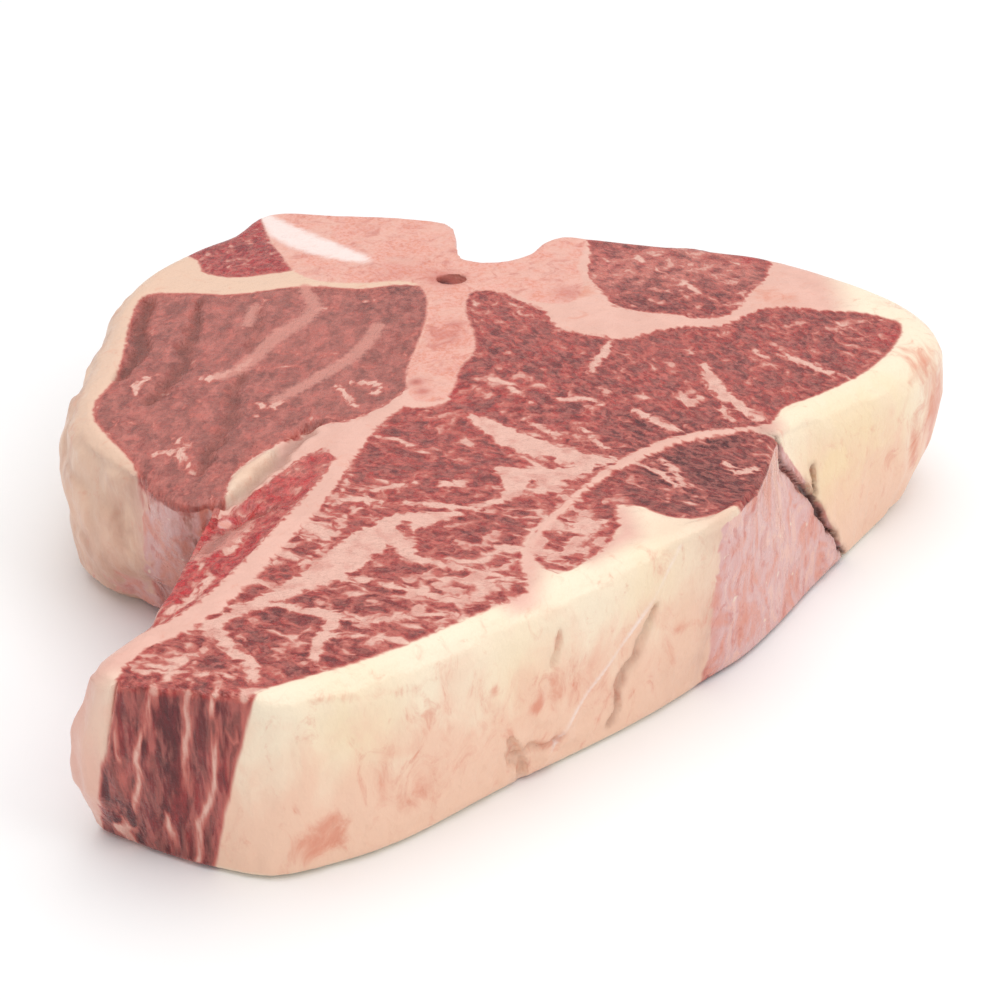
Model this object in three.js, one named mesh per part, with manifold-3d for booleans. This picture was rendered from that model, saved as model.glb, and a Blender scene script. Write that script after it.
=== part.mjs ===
// Wagyu porterhouse steak, raw, cut across the loin: two muscles either side of a T-shaped bone, smaller
// muscles round them, a fat cap along the back and seams of fat between. Millimetres, +Z up. The steak lies
// on its lower cut face, and the origin is at the middle of its box, on that face.
import * as THREE from "three";
import { mergeVertices } from "three/addons/utils/BufferGeometryUtils.js";
import Module from "manifold-3d";

const wasm = await Module();
wasm.setup();

const THICKNESS = 38;
const SEAM_GAP = 0.3;
const OUTLINE_STEP = 3.2;
const REGION_STEP = 3.2;
const OVERSHOOT = 8;

// The steak's side, counter-clockwise from the tail's corner. Each row holds the upper edge x, y, the lower
// edge x, y, how far the side swells out between them, and the radii of its upper shoulder and lower edge.
const TAIL_END = [
  [-66.6, -52.8, -70.6, -48.2, 5.2, 2.2, 2.0],
  [-59.5, -58.2, -63.4, -53.2, 2.0, 1.4, 1.6],
  [-50.0, -59.4, -54.0, -57.8, 1.0, 1.2, 1.4],
  [-41.0, -60.8, -46.0, -60.6, 0.8, 1.6, 1.4],
];
const CAP_SIDE = [
  [-35.0, -61.6, -39.0, -62.2, 0.6, 3.2, 1.6],
  [-28.0, -59.0, -31.2, -60.2, 0.8, 4.6, 1.8],
  [-16.5, -52.2, -17.6, -53.4, 1.2, 5.0, 1.8],
  [0.0, -39.8, 0.4, -38.6, 1.4, 5.0, 1.8],
  [10.5, -31.6, 11.8, -30.0, 1.4, 4.8, 1.8],
  [21.0, -23.4, 21.0, -22.8, 1.0, 4.0, 1.6],
  [33.0, -13.8, 32.0, -13.2, 0.6, 2.6, 1.6],
];
const MEMBRANE_SIDE = [
  [40.5, -7.4, 38.8, -6.4, 0.4, 1.0, 1.6],
  [47.8, 3.8, 47.0, 1.4, 0.4, 1.0, 1.6],
  [51.2, 13.8, 55.0, 12.0, 0.6, 1.0, 1.6],
  [54.2, 23.8, 62.0, 23.0, 0.8, 1.2, 1.6],
];
const LOIN_END_SIDE = [
  [60.0, 31.0, 68.2, 32.4, 1.2, 3.6, 1.8],
  [70.0, 39.0, 75.0, 42.2, 2.0, 5.0, 2.0],
  [82.0, 49.6, 81.6, 52.0, 2.8, 5.2, 2.4],
  [90.2, 60.6, 86.8, 62.2, 3.6, 5.2, 3.0],
  [92.6, 71.8, 89.8, 72.0, 4.4, 5.2, 3.4],
  [89.0, 82.4, 87.4, 82.0, 4.2, 5.2, 3.4],
  [81.0, 92.0, 80.0, 91.4, 2.8, 4.6, 3.0],
  [69.2, 101.2, 68.6, 100.6, 1.8, 3.6, 2.4],
];
const BACK_SIDE = [
  [58.6, 106.2, 58.6, 105.6, 1.0, 2.0, 2.0],
  [45.0, 109.9, 45.0, 109.3, 0.6, 1.6, 1.8],
  [30.0, 113.5, 30.0, 112.9, 0.6, 1.6, 1.8],
  [20.0, 115.8, 20.0, 115.4, 0.4, 1.4, 1.4],
  [14.6, 116.6, 14.8, 116.2, 0.2, 1.0, 1.2],
  [10.0, 113.2, 10.2, 113.2, 0.0, 0.8, 1.0],
  [7.0, 107.2, 7.4, 107.8, 0.0, 0.8, 1.0],
  [2.0, 103.8, 2.2, 104.6, 0.0, 0.8, 1.0],
  [-4.5, 102.6, -4.4, 103.4, 0.0, 0.8, 1.0],
  [-8.4, 104.2, -8.2, 104.8, 0.0, 0.8, 1.0],
  [-9.6, 109.6, -9.4, 109.6, 0.0, 0.8, 1.0],
  [-10.6, 117.2, -10.4, 117.2, 0.0, 0.8, 1.0],
  [-12.8, 124.0, -12.6, 124.0, 0.0, 0.8, 1.0],
  [-23.5, 126.8, -23.5, 126.6, 0.0, 0.8, 1.0],
  [-38.0, 128.4, -38.0, 128.2, 0.0, 0.8, 1.0],
  [-51.2, 130.0, -51.2, 129.6, 0.0, 0.8, 1.0],
  [-56.8, 127.4, -56.8, 127.0, 0.4, 1.2, 1.6],
];
const FILLET_SIDE = [
  [-61.6, 117.6, -62.0, 117.0, 0.8, 1.8, 2.0],
  [-68.2, 111.4, -68.6, 110.8, 1.2, 2.4, 2.2],
  [-74.2, 104.2, -74.8, 103.6, 1.6, 2.8, 2.4],
  [-79.6, 95.6, -80.2, 95.0, 2.6, 3.4, 2.6],
  [-82.6, 82.4, -82.8, 81.4, 4.4, 3.8, 2.8],
  [-83.2, 66.0, -83.6, 66.0, 5.4, 3.8, 3.0],
  [-84.0, 51.0, -84.8, 51.6, 5.8, 3.8, 3.2],
  [-84.4, 38.0, -85.4, 40.0, 5.6, 4.0, 3.4],
  [-81.4, 26.4, -83.4, 29.6, 4.8, 4.2, 3.4],
  [-75.4, 17.4, -77.8, 23.6, 4.2, 4.0, 3.4],
  [-69.0, 10.2, -71.2, 20.8, 3.6, 3.2, 3.2],
  [-64.4, 3.4, -65.2, 17.2, 2.8, 2.4, 2.8],
  [-59.6, -1.8, -59.6, 12.0, 2.0, 1.8, 2.4],
  [-55.6, -1.8, -55.4, 7.4, 1.0, 1.4, 1.8],
  [-53.2, 0.4, -53.2, 3.6, 0.4, 1.0, 1.2],
];
const TAIL_SIDE = [
  [-53.0, -3.6, -53.2, -1.0, 0.0, 1.0, 1.2],
  [-55.0, -10.0, -56.0, -8.0, -0.4, 1.6, 1.6],
  [-56.6, -20.0, -59.0, -18.0, -0.2, 2.4, 1.8],
  [-58.4, -31.0, -62.2, -28.8, 0.4, 2.6, 1.8],
  [-61.4, -41.4, -65.6, -38.6, 1.6, 2.4, 2.0],
];
const SIDE_ROWS = [
  ...TAIL_END,
  ...CAP_SIDE,
  ...MEMBRANE_SIDE,
  ...LOIN_END_SIDE,
  ...BACK_SIDE,
  ...FILLET_SIDE,
  ...TAIL_SIDE,
];

// The outlines of the muscles and the bone on the upper cut face, x and y. The third and fourth numbers,
// where given, are how far the same point has moved by the lower cut face, because the seams lean.
const T_BONE = [
  [-56.0, 136.0], [-33.0, 136.0], [-6.0, 134.0], [-2.0, 116.0], [-5.0, 106.0], [2.0, 110.0], [6.0, 124.0],
  [18.0, 124.0], [19.6, 112.0, -1, 0], [17.4, 101.0, -2, -1], [18.4, 90.0, -2, 0], [14.4, 81.6, -1, 2],
  [6.6, 83.0, 0, 1], [1.4, 87.4], [-5.4, 88.6], [-7.6, 80.0, 1, 0], [-5.6, 68.0, 1, 0], [-5.4, 60.0, 1, 0],
  [-8.4, 52.0, 0, 1], [-9.4, 44.0, 0, 2], [-11.4, 38.4, 0, 4], [-16.6, 38.0, 0, 4], [-18.8, 44.0, 0, 2],
  [-19.0, 53.0, 0, 1], [-17.4, 63.0, -1, 0], [-15.8, 75.0, -1, 0], [-16.4, 87.0, -1, 0], [-19.4, 92.4],
  [-30.0, 91.6, 0, 1], [-40.0, 92.8, 0, 1], [-45.6, 97.0], [-48.6, 104.0], [-52.0, 112.0], [-54.6, 121.0],
];
const TENDERLOIN = [
  [-77.4, 86.4, 2, 0], [-69.0, 87.0, 1, 0], [-60.0, 86.0], [-52.0, 87.8], [-46.0, 90.0], [-38.0, 90.2],
  [-30.0, 88.8], [-23.4, 90.6], [-17.4, 90.4], [-14.8, 84.0], [-14.4, 75.0], [-16.2, 64.0], [-18.0, 54.0],
  [-18.4, 45.0], [-22.0, 38.4, 0, 1], [-26.4, 33.0, 0, 2], [-31.6, 29.6, 0, 3], [-36.8, 28.0, 0, 3],
  [-42.6, 21.6, 1, 3], [-47.4, 15.6, 1, 4], [-50.8, 8.4, 1, 4], [-51.4, -1.0, 1, 4], [-53.4, -6.0, 0, 4],
  [-63.4, -7.0, 0, 8], [-65.6, 3.0, -1, 9], [-70.0, 14.0, -2, 9], [-75.2, 22.4, -2, 6], [-80.0, 31.0, 0, 3],
  [-80.8, 38.0, 1, 0], [-78.6, 46.0, 1, 0], [-78.4, 60.0, 1, 0], [-79.0, 75.0, 2, 0],
];
const STRIP_LOIN = [
  [-8.8, 89.4], [-1.6, 88.6], [4.0, 83.6], [9.6, 78.0], [12.0, 70.6], [20.0, 66.8], [27.0, 65.4],
  [33.4, 69.0], [40.0, 70.8], [46.4, 70.6], [52.0, 74.8], [57.0, 79.2], [62.6, 79.8], [70.0, 78.2],
  [79.0, 76.8, -1, 0], [85.4, 71.4, -2, 0], [83.4, 64.0, -1, 1], [79.0, 56.0, -1, 2], [73.0, 48.6, 0, 2],
  [64.0, 41.0, 2, 2], [56.0, 35.4, 4, 3], [53.4, 29.6, 6, 4], [46.0, 27.6, 6, 3], [38.0, 25.8, 5, 2],
  [31.4, 22.6, 4, 2], [25.6, 17.4, 3, 2], [20.0, 11.8, 3, 1], [15.0, 4.4, 2, 0], [10.6, -2.8, 2, -1],
  [6.6, -9.4, 1, -1], [3.6, -16.0, 1, -1], [3.8, -23.4, 0, -1], [4.4, -30.0, -1, 0], [-5.0, -37.6, -2, 0],
  [-14.0, -44.6, -3, 0], [-24.0, -51.2, -4, 0], [-34.0, -56.4, -6, 0], [-39.6, -59.6, -9, 1],
  [-42.0, -68.0, -10, 2], [-62.5, -70.0, -6, 3], [-62.6, -60.0, -6, 3], [-61.6, -51.6, -6, 3],
  [-57.0, -45.4, -3, 2], [-51.4, -41.2, -2, 2], [-47.0, -34.6, -1, 2], [-43.4, -27.0, -1, 1],
  [-40.0, -19.0, 0, 1], [-36.8, -11.0], [-33.6, -4.0], [-31.0, 4.0], [-28.8, 12.0], [-26.0, 21.0],
  [-23.0, 29.6], [-19.0, 35.4], [-13.0, 35.4], [-10.0, 38.6], [-10.4, 46.0], [-8.8, 53.0], [-6.6, 60.0],
  [-6.8, 68.0], [-8.8, 78.0],
];
const RUMP_MUSCLE = [
  [51.4, 27.0, 14, 12], [53.8, 25.5, 19, 15], [60.0, 20.4, 19, 16], [64.0, 6.0, 8, 4], [56.0, -8.0, 4, 0],
  [47.0, -3.0, 4, 2], [43.4, -2.0, 4, 1], [39.6, -4.8, 3, 0], [35.0, -6.4, 2, 0], [30.0, -5.2, 1, 0],
  [26.2, -2.0], [21.6, -1.6], [21.4, -9.0], [19.4, -15.0], [15.6, -20.0], [10.4, -24.4],
  [6.8, -21.0, 0, -1], [6.4, -15.0, 0, -1], [9.2, -8.6, 1, -1],
  [13.2, -2.0, 2, -1], [17.6, 5.2, 2, 0], [22.4, 10.8, 3, 1], [28.0, 15.8, 3, 2], [34.0, 20.8, 4, 2],
  [41.0, 23.8, 5, 2], [48.0, 25.8, 6, 3],
];
const TAIL_MUSCLE = [
  [-33.6, 18.4], [-31.8, 15.6], [-34.0, 8.0], [-36.6, 1.0], [-39.8, -6.4], [-43.0, -14.0, 0, 1],
  [-46.4, -22.0, -1, 1], [-50.2, -30.0, -1, 2], [-54.8, -37.0, -2, 2], [-59.6, -41.6, -3, 3],
  [-68.0, -44.0, -3, 3], [-68.0, -30.0], [-66.0, -12.0], [-57.6, -4.8], [-52.2, -4.6], [-48.4, -0.4],
  [-44.6, 5.0], [-41.2, 10.6], [-37.6, 15.6],
];
const BACK_MUSCLE = [
  [20.6, 104.0], [22.4, 120.0], [40.0, 120.0], [59.4, 112.0], [60.6, 101.0], [58.4, 93.0, 0, 1],
  [54.4, 86.0], [51.6, 79.8], [48.4, 75.6], [43.6, 74.4], [37.0, 76.6], [30.0, 78.0], [25.0, 80.8],
  [23.2, 86.0], [20.8, 92.0], [19.6, 98.0],
];
const CHINE_MUSCLE = [
  [-54.8, 134.0], [-70.0, 120.0], [-72.0, 108.0], [-68.0, 103.4], [-66.4, 98.0, 1, 0], [-62.4, 95.2, 1, 0],
  [-57.4, 94.6], [-52.0, 96.4], [-46.4, 98.4], [-46.8, 104.4], [-50.4, 112.6], [-53.0, 121.0],
];

// Zones that part the fat where it isn't parted by meat. The first ends at the crack in the cap, which runs
// down the side from the strip's corner.
const LOIN_END_ZONE = [
  [50.0, 29.0, 14, 12], [53.8, 25.8, 19, 15], [60.0, 20.4, 19, 16], [90.0, 4.0, 10, 10], [120.0, 30.0],
  [120.0, 112.0], [62.0, 112.0], [61.4, 97.0], [56.0, 84.0], [50.0, 76.0], [44.0, 60.0],
];
const FILLET_FAT_ZONE = [
  [-96.0, 6.0, 0, 8], [-66.4, -2.0, 0, 8], [-40.0, 60.0], [-14.0, 84.0], [-14.0, 95.0], [-40.0, 112.0],
  [-80.0, 116.0], [-104.0, 80.0],
];
const BACK_SEAM_ZONE = [
  [-12.0, 76.0], [30.0, 40.0], [70.0, 60.0], [66.0, 120.0], [24.0, 124.0], [0.0, 96.0],
];
const TAIL_SEAM_ZONE = [
  [-76.0, -56.0], [-50.0, -50.0], [-24.0, -10.0], [0.0, 40.0], [-14.0, 60.0], [-44.0, 60.0], [-72.0, -4.0],
];

// The vein's opening in the bone, a pit in the upper face.
const VEIN_CENTRE = new THREE.Vector3(-10.8, 94.2, THICKNESS);
const VEIN_RADII = new THREE.Vector3(3.4, 2.6, 3.6);

// Smooth closed curve through rows of numbers, read back as rows about one step apart along the first two.
function smoothRows(rows, step) {
  const count = rows.length;
  const width = rows[0].length;
  const curves = [];
  for (let k = 0; k < width; k += 2) {
    const points = rows.map((row) => new THREE.Vector3(row[k], row[k + 1] ?? 0, 0));
    curves.push(new THREE.CatmullRomCurve3(points, true, "centripetal"));
  }
  const found = [];
  for (let i = 0; i < count; i++) {
    const next = rows[(i + 1) % count];
    const length = Math.hypot(next[0] - rows[i][0], next[1] - rows[i][1]);
    const parts = Math.max(1, Math.round(length / step));
    for (let j = 0; j < parts; j++) {
      const u = (i + j / parts) / count;
      const values = curves.flatMap((curve) => {
        const p = curve.getPoint(u);
        return [p.x, p.y];
      });
      found.push(values.slice(0, width));
    }
  }
  return found;
}

// Unit vectors that point out of a counter-clockwise outline, one for each row.
function outwards(rows) {
  const count = rows.length;
  return rows.map((row, i) => {
    const before = rows[(i + count - 1) % count];
    const after = rows[(i + 1) % count];
    return new THREE.Vector2(after[1] - before[1], before[0] - after[0]).normalize();
  });
}

function turnedCounterClockwise(rows) {
  const ring = rows.map(([x, y]) => new THREE.Vector2(x, y));
  return THREE.ShapeUtils.isClockWise(ring) ? [...rows].reverse() : rows;
}

// A closed geometry from rings of points, the lowest first, each ring running counter-clockwise.
function skin(rings) {
  const count = rings[0].length;
  const positions = rings.flat().flatMap((p) => [p.x, p.y, p.z]);
  const index = [];
  for (let k = 0; k + 1 < rings.length; k++) {
    for (let i = 0; i < count; i++) {
      const a = k * count + i;
      const b = k * count + ((i + 1) % count);
      index.push(a, b, b + count, a, b + count, a + count);
    }
  }
  const last = (rings.length - 1) * count;
  const flat = (ring) => ring.map((p) => new THREE.Vector2(p.x, p.y));
  for (const [a, b, c] of THREE.ShapeUtils.triangulateShape(flat(rings[0]), [])) index.push(a, c, b);
  for (const [a, b, c] of THREE.ShapeUtils.triangulateShape(flat(rings.at(-1)), [])) {
    index.push(last + a, last + b, last + c);
  }
  const geometry = new THREE.BufferGeometry();
  geometry.setAttribute("position", new THREE.Float32BufferAttribute(positions, 3));
  geometry.setIndex(index);
  return geometry;
}

// The whole steak before it is parted into its tissues: rings up the side, rounded at both edges.
function steakGeometry() {
  const rows = smoothRows(SIDE_ROWS, OUTLINE_STEP);
  const normals = outwards(rows);
  const quarter = Math.PI / 2;
  const ringAt = (heightOf, insetOf) =>
    rows.map(([topX, topY, footX, footY, swell, shoulder, toe], i) => {
      const z = heightOf(shoulder, toe);
      const share = z / THICKNESS;
      const out = 4 * swell * share * (1 - share) - insetOf(shoulder, toe);
      return new THREE.Vector3(
        THREE.MathUtils.lerp(footX, topX, share) + normals[i].x * out,
        THREE.MathUtils.lerp(footY, topY, share) + normals[i].y * out,
        z,
      );
    });
  const rings = [];
  for (const angle of [0, quarter / 2, quarter]) {
    rings.push(ringAt((s, toe) => toe * (1 - Math.cos(angle)), (s, toe) => toe * (1 - Math.sin(angle))));
  }
  for (const share of [0.33, 0.67]) {
    rings.push(ringAt((shoulder, toe) => THREE.MathUtils.lerp(toe, THICKNESS - shoulder, share), () => 0));
  }
  for (const angle of [0, quarter / 3, (2 * quarter) / 3, quarter]) {
    rings.push(
      ringAt((s) => THICKNESS - s * (1 - Math.sin(angle)), (s) => s * (1 - Math.cos(angle))),
    );
  }
  return skin(rings);
}

// An upright cutter over a region's outline, leaning where the seams lean, grown outwards by a margin.
function regionGeometry(outline, margin) {
  const padded = outline.map(([x, y, leanX = 0, leanY = 0]) => [x, y, leanX, leanY]);
  const rows = turnedCounterClockwise(smoothRows(padded, REGION_STEP));
  const normals = outwards(rows);
  const ringAt = (z) =>
    rows.map(([x, y, leanX, leanY], i) => {
      const share = 1 - z / THICKNESS;
      return new THREE.Vector3(
        x + leanX * share + normals[i].x * margin,
        y + leanY * share + normals[i].y * margin,
        z,
      );
    });
  return skin([ringAt(-OVERSHOOT), ringAt(THICKNESS + OVERSHOOT)]);
}

function solidOf(geometry) {
  const plain = geometry.clone();
  plain.deleteAttribute("normal");
  plain.deleteAttribute("uv");
  const merged = mergeVertices(plain, 1e-4);
  return new wasm.Manifold(
    new wasm.Mesh({
      numProp: 3,
      vertProperties: merged.attributes.position.array,
      triVerts: new Uint32Array(merged.index.array),
    }),
  );
}

function largestBody(solid) {
  return solid.decompose().sort((a, b) => b.volume() - a.volume())[0];
}

function geometryOf(solid) {
  const mesh = solid.getMesh();
  const geometry = new THREE.BufferGeometry();
  geometry.setAttribute("position", new THREE.BufferAttribute(mesh.vertProperties.slice(), 3));
  geometry.setIndex(new THREE.BufferAttribute(mesh.triVerts.slice(), 1));
  geometry.computeVertexNormals();
  return geometry;
}

function tissue(name, color, roughness) {
  const material = new THREE.MeshStandardMaterial({ color, roughness, metalness: 0 });
  material.name = name;
  return material;
}

const LEAN = tissue("lean", 0x9c4a48, 0.45);
const FILLET_LEAN = tissue("fillet_lean", 0xa65f58, 0.45);
const TAIL_LEAN = tissue("tail_lean", 0xa8373a, 0.4);
const CAP_FAT = tissue("cap_fat", 0xf3dcc0, 0.5);
const SEAM_FAT = tissue("seam_fat", 0xe6b3a2, 0.5);
const BONE = tissue("bone", 0xe3ada0, 0.6);

const REGIONS = [
  ["t_bone", T_BONE, BONE],
  ["tenderloin", TENDERLOIN, FILLET_LEAN],
  ["strip_loin", STRIP_LOIN, LEAN],
  ["rump_muscle", RUMP_MUSCLE, LEAN],
  ["tail_muscle", TAIL_MUSCLE, TAIL_LEAN],
  ["back_muscle", BACK_MUSCLE, LEAN],
  ["chine_muscle", CHINE_MUSCLE, TAIL_LEAN],
  ["loin_end_fat", LOIN_END_ZONE, CAP_FAT],
  ["fillet_fat", FILLET_FAT_ZONE, CAP_FAT],
  ["back_seam_fat", BACK_SEAM_ZONE, SEAM_FAT],
  ["tail_seam_fat", TAIL_SEAM_ZONE, SEAM_FAT],
];

const steak = new THREE.Group();
steak.name = "porterhouse_steak";

function addMesh(name, solid, material) {
  const mesh = new THREE.Mesh(geometryOf(solid), material);
  mesh.name = name;
  steak.add(mesh);
}

// Each tissue takes what its outline holds of what the ones before it have left, and the cap is the rest.
const vein = new THREE.SphereGeometry(1, 16, 12);
vein.scale(VEIN_RADII.x, VEIN_RADII.y, VEIN_RADII.z);
vein.translate(VEIN_CENTRE.x, VEIN_CENTRE.y, VEIN_CENTRE.z);
let rest = solidOf(steakGeometry()).subtract(solidOf(vein));
for (const [name, outline, material] of REGIONS) {
  addMesh(name, largestBody(rest.intersect(solidOf(regionGeometry(outline, 0)))), material);
  rest = rest.subtract(solidOf(regionGeometry(outline, SEAM_GAP)));
}
addMesh("cap_fat", largestBody(rest), CAP_FAT);

// The origin goes to the middle of the box, on the lower cut face.
const box = new THREE.Box3().setFromObject(steak);
const middle = box.getCenter(new THREE.Vector3());
for (const mesh of steak.children) mesh.position.set(-middle.x, -middle.y, -box.min.z);

export default steak;
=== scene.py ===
import math

import bmesh
import bpy
import numpy as np
from bpy.props import FloatProperty, FloatVectorProperty, IntProperty, PointerProperty
from bpy.types import Operator, Panel, PropertyGroup
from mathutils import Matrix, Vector


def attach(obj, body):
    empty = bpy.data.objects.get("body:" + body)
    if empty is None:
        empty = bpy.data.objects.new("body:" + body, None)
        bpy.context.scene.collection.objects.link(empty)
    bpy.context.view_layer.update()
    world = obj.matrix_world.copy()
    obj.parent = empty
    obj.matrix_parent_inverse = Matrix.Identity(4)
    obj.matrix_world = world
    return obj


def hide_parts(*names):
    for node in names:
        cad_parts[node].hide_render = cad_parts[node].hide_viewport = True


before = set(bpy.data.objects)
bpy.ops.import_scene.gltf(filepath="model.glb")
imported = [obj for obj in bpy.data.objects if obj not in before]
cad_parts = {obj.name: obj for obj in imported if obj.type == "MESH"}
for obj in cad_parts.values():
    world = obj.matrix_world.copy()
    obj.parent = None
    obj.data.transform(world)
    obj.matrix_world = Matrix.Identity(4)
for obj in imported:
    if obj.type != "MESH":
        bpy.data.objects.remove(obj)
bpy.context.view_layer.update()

bl_info = {
    "name": "Porterhouse steak",
    "version": (1, 0, 0),
    "blender": (4, 5, 0),
    "location": "3D View > Sidebar > Steak",
    "description": "Raw marbled porterhouse steak, cut from one modelled blank",
    "category": "Object",
}

# The steak's thickness and how far a knife reaches past both cut faces, in millimetres.
THICKNESS = 38.0
KNIFE_OVER = 8.0
# Points nearer than this are one, in metres, and an edge from this angle on is sharp, in degrees.
MERGE_DISTANCE = 2e-6
SHARP_ANGLE = 50
BATCH = 8000
# How many points a blank and a cut piece have at least.
BLANK_LEAST = 1000
PIECE_LEAST = 50
# The lights' places, what they point at and their widths, and the camera's place and tilt.
TOP_LIGHT = ((0.1, 0.1, 1.9), (0, 0, 0), 2.2)
KEY_LIGHT = ((0.75, -0.45, 0.95), (0, 0, 0.02), 0.5)
CAMERA_PLACE = (-0.002673, -0.381772, 0.251265)
CAMERA_TILT = 58.5
# The outlines below are in millimetres from a point between the two big muscles. The frame's origin, at the
# middle of the steak's box, lies here on them.
MIDDLE = (2.673, 33.756)

# Outlines on the upper cut face: x and y, then how far the point has moved in x and y at the lower cut face.
# Two numbers alone mean that it hasn't moved.
T_BONE = [
    (-56, 136), (-33, 136), (-6, 134), (-2, 116), (-5, 106), (2, 110), (6, 124), (18, 124),
    (19.6, 112, -1, 0), (17.4, 101, -2, -1), (18.4, 90, -2, 0), (14.4, 81.6, -1, 2), (6.6, 83, 0, 1),
    (1.4, 87.4), (-5.4, 88.6), (-7.6, 80, 1, 0), (-5.6, 68, 1, 0), (-5.4, 60, 1, 0), (-8.4, 52, 0, 1),
    (-9.4, 44, 0, 2), (-11.4, 38.4, 0, 4), (-16.6, 38, 0, 4), (-18.8, 44, 0, 2), (-19, 53, 0, 1),
    (-17.4, 63, -1, 0), (-15.8, 75, -1, 0), (-16.4, 87, -1, 0), (-19.4, 92.4), (-30, 91.6, 0, 1),
    (-40, 92.8, 0, 1), (-45.6, 97), (-48.6, 104), (-52, 112), (-54.6, 121),
]
TENDERLOIN = [
    (-77.4, 86.4, 2, 0), (-69, 87, 1, 0), (-60, 86), (-52, 87.8), (-46, 90), (-38, 90.2), (-30, 88.8),
    (-23.4, 90.6), (-17.4, 90.4), (-14.8, 84), (-14.4, 75), (-16.2, 64), (-18, 54), (-18.4, 45),
    (-22, 38.4, 0, 1), (-26.4, 33, 0, 2), (-31.6, 29.6, 0, 3), (-36.8, 28, 0, 3), (-42.6, 21.6, 1, 3),
    (-47.4, 15.6, 1, 4), (-50.8, 8.4, 1, 4), (-51.4, -1, 1, 4), (-53.4, -6, 0, 4), (-63.4, -7, 0, 8),
    (-65.6, 3, -1, 9), (-70, 14, -2, 9), (-75.2, 22.4, -2, 6), (-80, 31, 0, 3), (-80.8, 38, 1, 0),
    (-78.6, 46, 1, 0), (-78.4, 60, 1, 0), (-79, 75, 2, 0),
]
STRIP_LOIN = [
    (-8.8, 89.4), (-1.6, 88.6), (4, 83.6), (9.6, 78), (12, 70.6), (20, 66.8), (27, 65.4), (33.4, 69),
    (40, 70.8), (46.4, 70.6), (52, 74.8), (57, 79.2), (62.6, 79.8), (70, 78.2), (79, 76.8, -1, 0),
    (85.4, 71.4, -2, 0), (83.4, 64, -1, 1), (79, 56, -1, 2), (73, 48.6, 0, 2), (64, 41, 2, 2),
    (56, 35.4, 4, 3), (53.4, 29.6, 6, 4), (46, 27.6, 6, 3), (38, 25.8, 5, 2), (31.4, 22.6, 4, 2),
    (25.6, 17.4, 3, 2), (20, 11.8, 3, 1), (15, 4.4, 2, 0), (10.6, -2.8, 2, -1), (6.6, -9.4, 1, -1),
    (3.6, -16, 1, -1), (3.8, -23.4, 0, -1), (4.4, -30, -1, 0), (-5, -37.6, -2, 0), (-14, -44.6, -3, 0),
    (-24, -51.2, -4, 0), (-34, -56.4, -6, 0), (-39.6, -59.6, -9, 1), (-42, -68, -10, 2),
    (-62.5, -70, -8, 3), (-62.6, -60, -8, 3), (-61.6, -51.6, -8, 3), (-57, -45.4, -3, 2),
    (-51.4, -41.2, -2, 2), (-47, -34.6, -1, 2), (-43.4, -27, -1, 1), (-40, -19, 0, 1), (-36.8, -11),
    (-33.6, -4), (-31, 4), (-28.8, 12), (-26, 21), (-23, 29.6), (-19, 35.4), (-13, 35.4), (-10, 38.6),
    (-10.4, 46), (-8.8, 53), (-6.6, 60), (-6.8, 68), (-8.8, 78),
]
RUMP_MUSCLE = [
    (51.4, 27, 14, 12), (53.8, 25.5, 19, 15), (60, 20.4, 19, 16), (64, 6, 8, 4), (56, -8, 4, 0),
    (47, -3, 4, 2), (43.4, -2, 4, 1), (39.6, -4.8, 3, 0), (35, -6.4, 2, 0), (30, -5.2, 1, 0), (26.2, -2),
    (21.6, -1.6), (21.4, -9), (19.4, -15), (15.6, -20), (10.4, -24.4), (6.8, -21, 0, -1), (6.4, -15, 0, -1),
    (9.2, -8.6, 1, -1), (13.2, -2, 2, -1), (17.6, 5.2, 2, 0), (22.4, 10.8, 3, 1), (28, 15.8, 3, 2),
    (34, 20.8, 4, 2), (41, 23.8, 5, 2), (48, 25.8, 6, 3),
]
TAIL_MUSCLE = [
    (-33.6, 18.4), (-31.8, 15.6), (-34, 8), (-36.6, 1), (-39.8, -6.4), (-43, -14, 0, 1),
    (-46.4, -22, -1, 1), (-50.2, -30, -1, 2), (-54.8, -37, -2, 2), (-59.6, -41.6, -3, 3), (-68, -44, -3, 3),
    (-68, -30), (-66, -12), (-57.6, -4.8), (-52.2, -4.6), (-48.4, -0.4), (-44.6, 5), (-41.2, 10.6),
    (-37.6, 15.6),
]
BACK_MUSCLE = [
    (20.6, 104), (22.4, 120), (40, 120), (59.4, 112), (60.6, 101), (58.4, 93, 0, 1), (54.4, 86),
    (51.6, 79.8), (48.4, 75.6), (43.6, 74.4), (37, 76.6), (30, 78), (25, 80.8), (23.2, 86), (20.8, 92),
    (19.6, 98),
]
CHINE_MUSCLE = [
    (-54.8, 134), (-70, 120), (-72, 108), (-68, 103.4), (-66.4, 98, 1, 0), (-62.4, 95.2, 1, 0),
    (-57.4, 94.6), (-52, 96.4), (-46.4, 98.4), (-46.8, 104.4), (-50.4, 112.6), (-53, 121),
]
LOIN_END_ZONE = [
    (50, 29, 14, 12), (53.8, 25.8, 19, 15), (60, 20.4, 19, 16), (90, 4, 10, 10), (120, 30), (120, 112),
    (62, 112), (61.4, 97), (56, 84), (50, 76), (44, 60),
]
FILLET_FAT_ZONE = [
    (-96, 6, 0, 8), (-66.4, -2, 0, 8), (-40, 60), (-14, 84), (-14, 95), (-40, 112), (-80, 116), (-104, 80),
]
BACK_SEAM_ZONE = [(-12, 76), (30, 40), (70, 60), (66, 120), (24, 124), (0, 96)]
TAIL_SEAM_ZONE = [(-76, -56), (-50, -50), (-24, -10), (0, 40), (-14, 60), (-44, 60), (-72, -4)]
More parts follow.
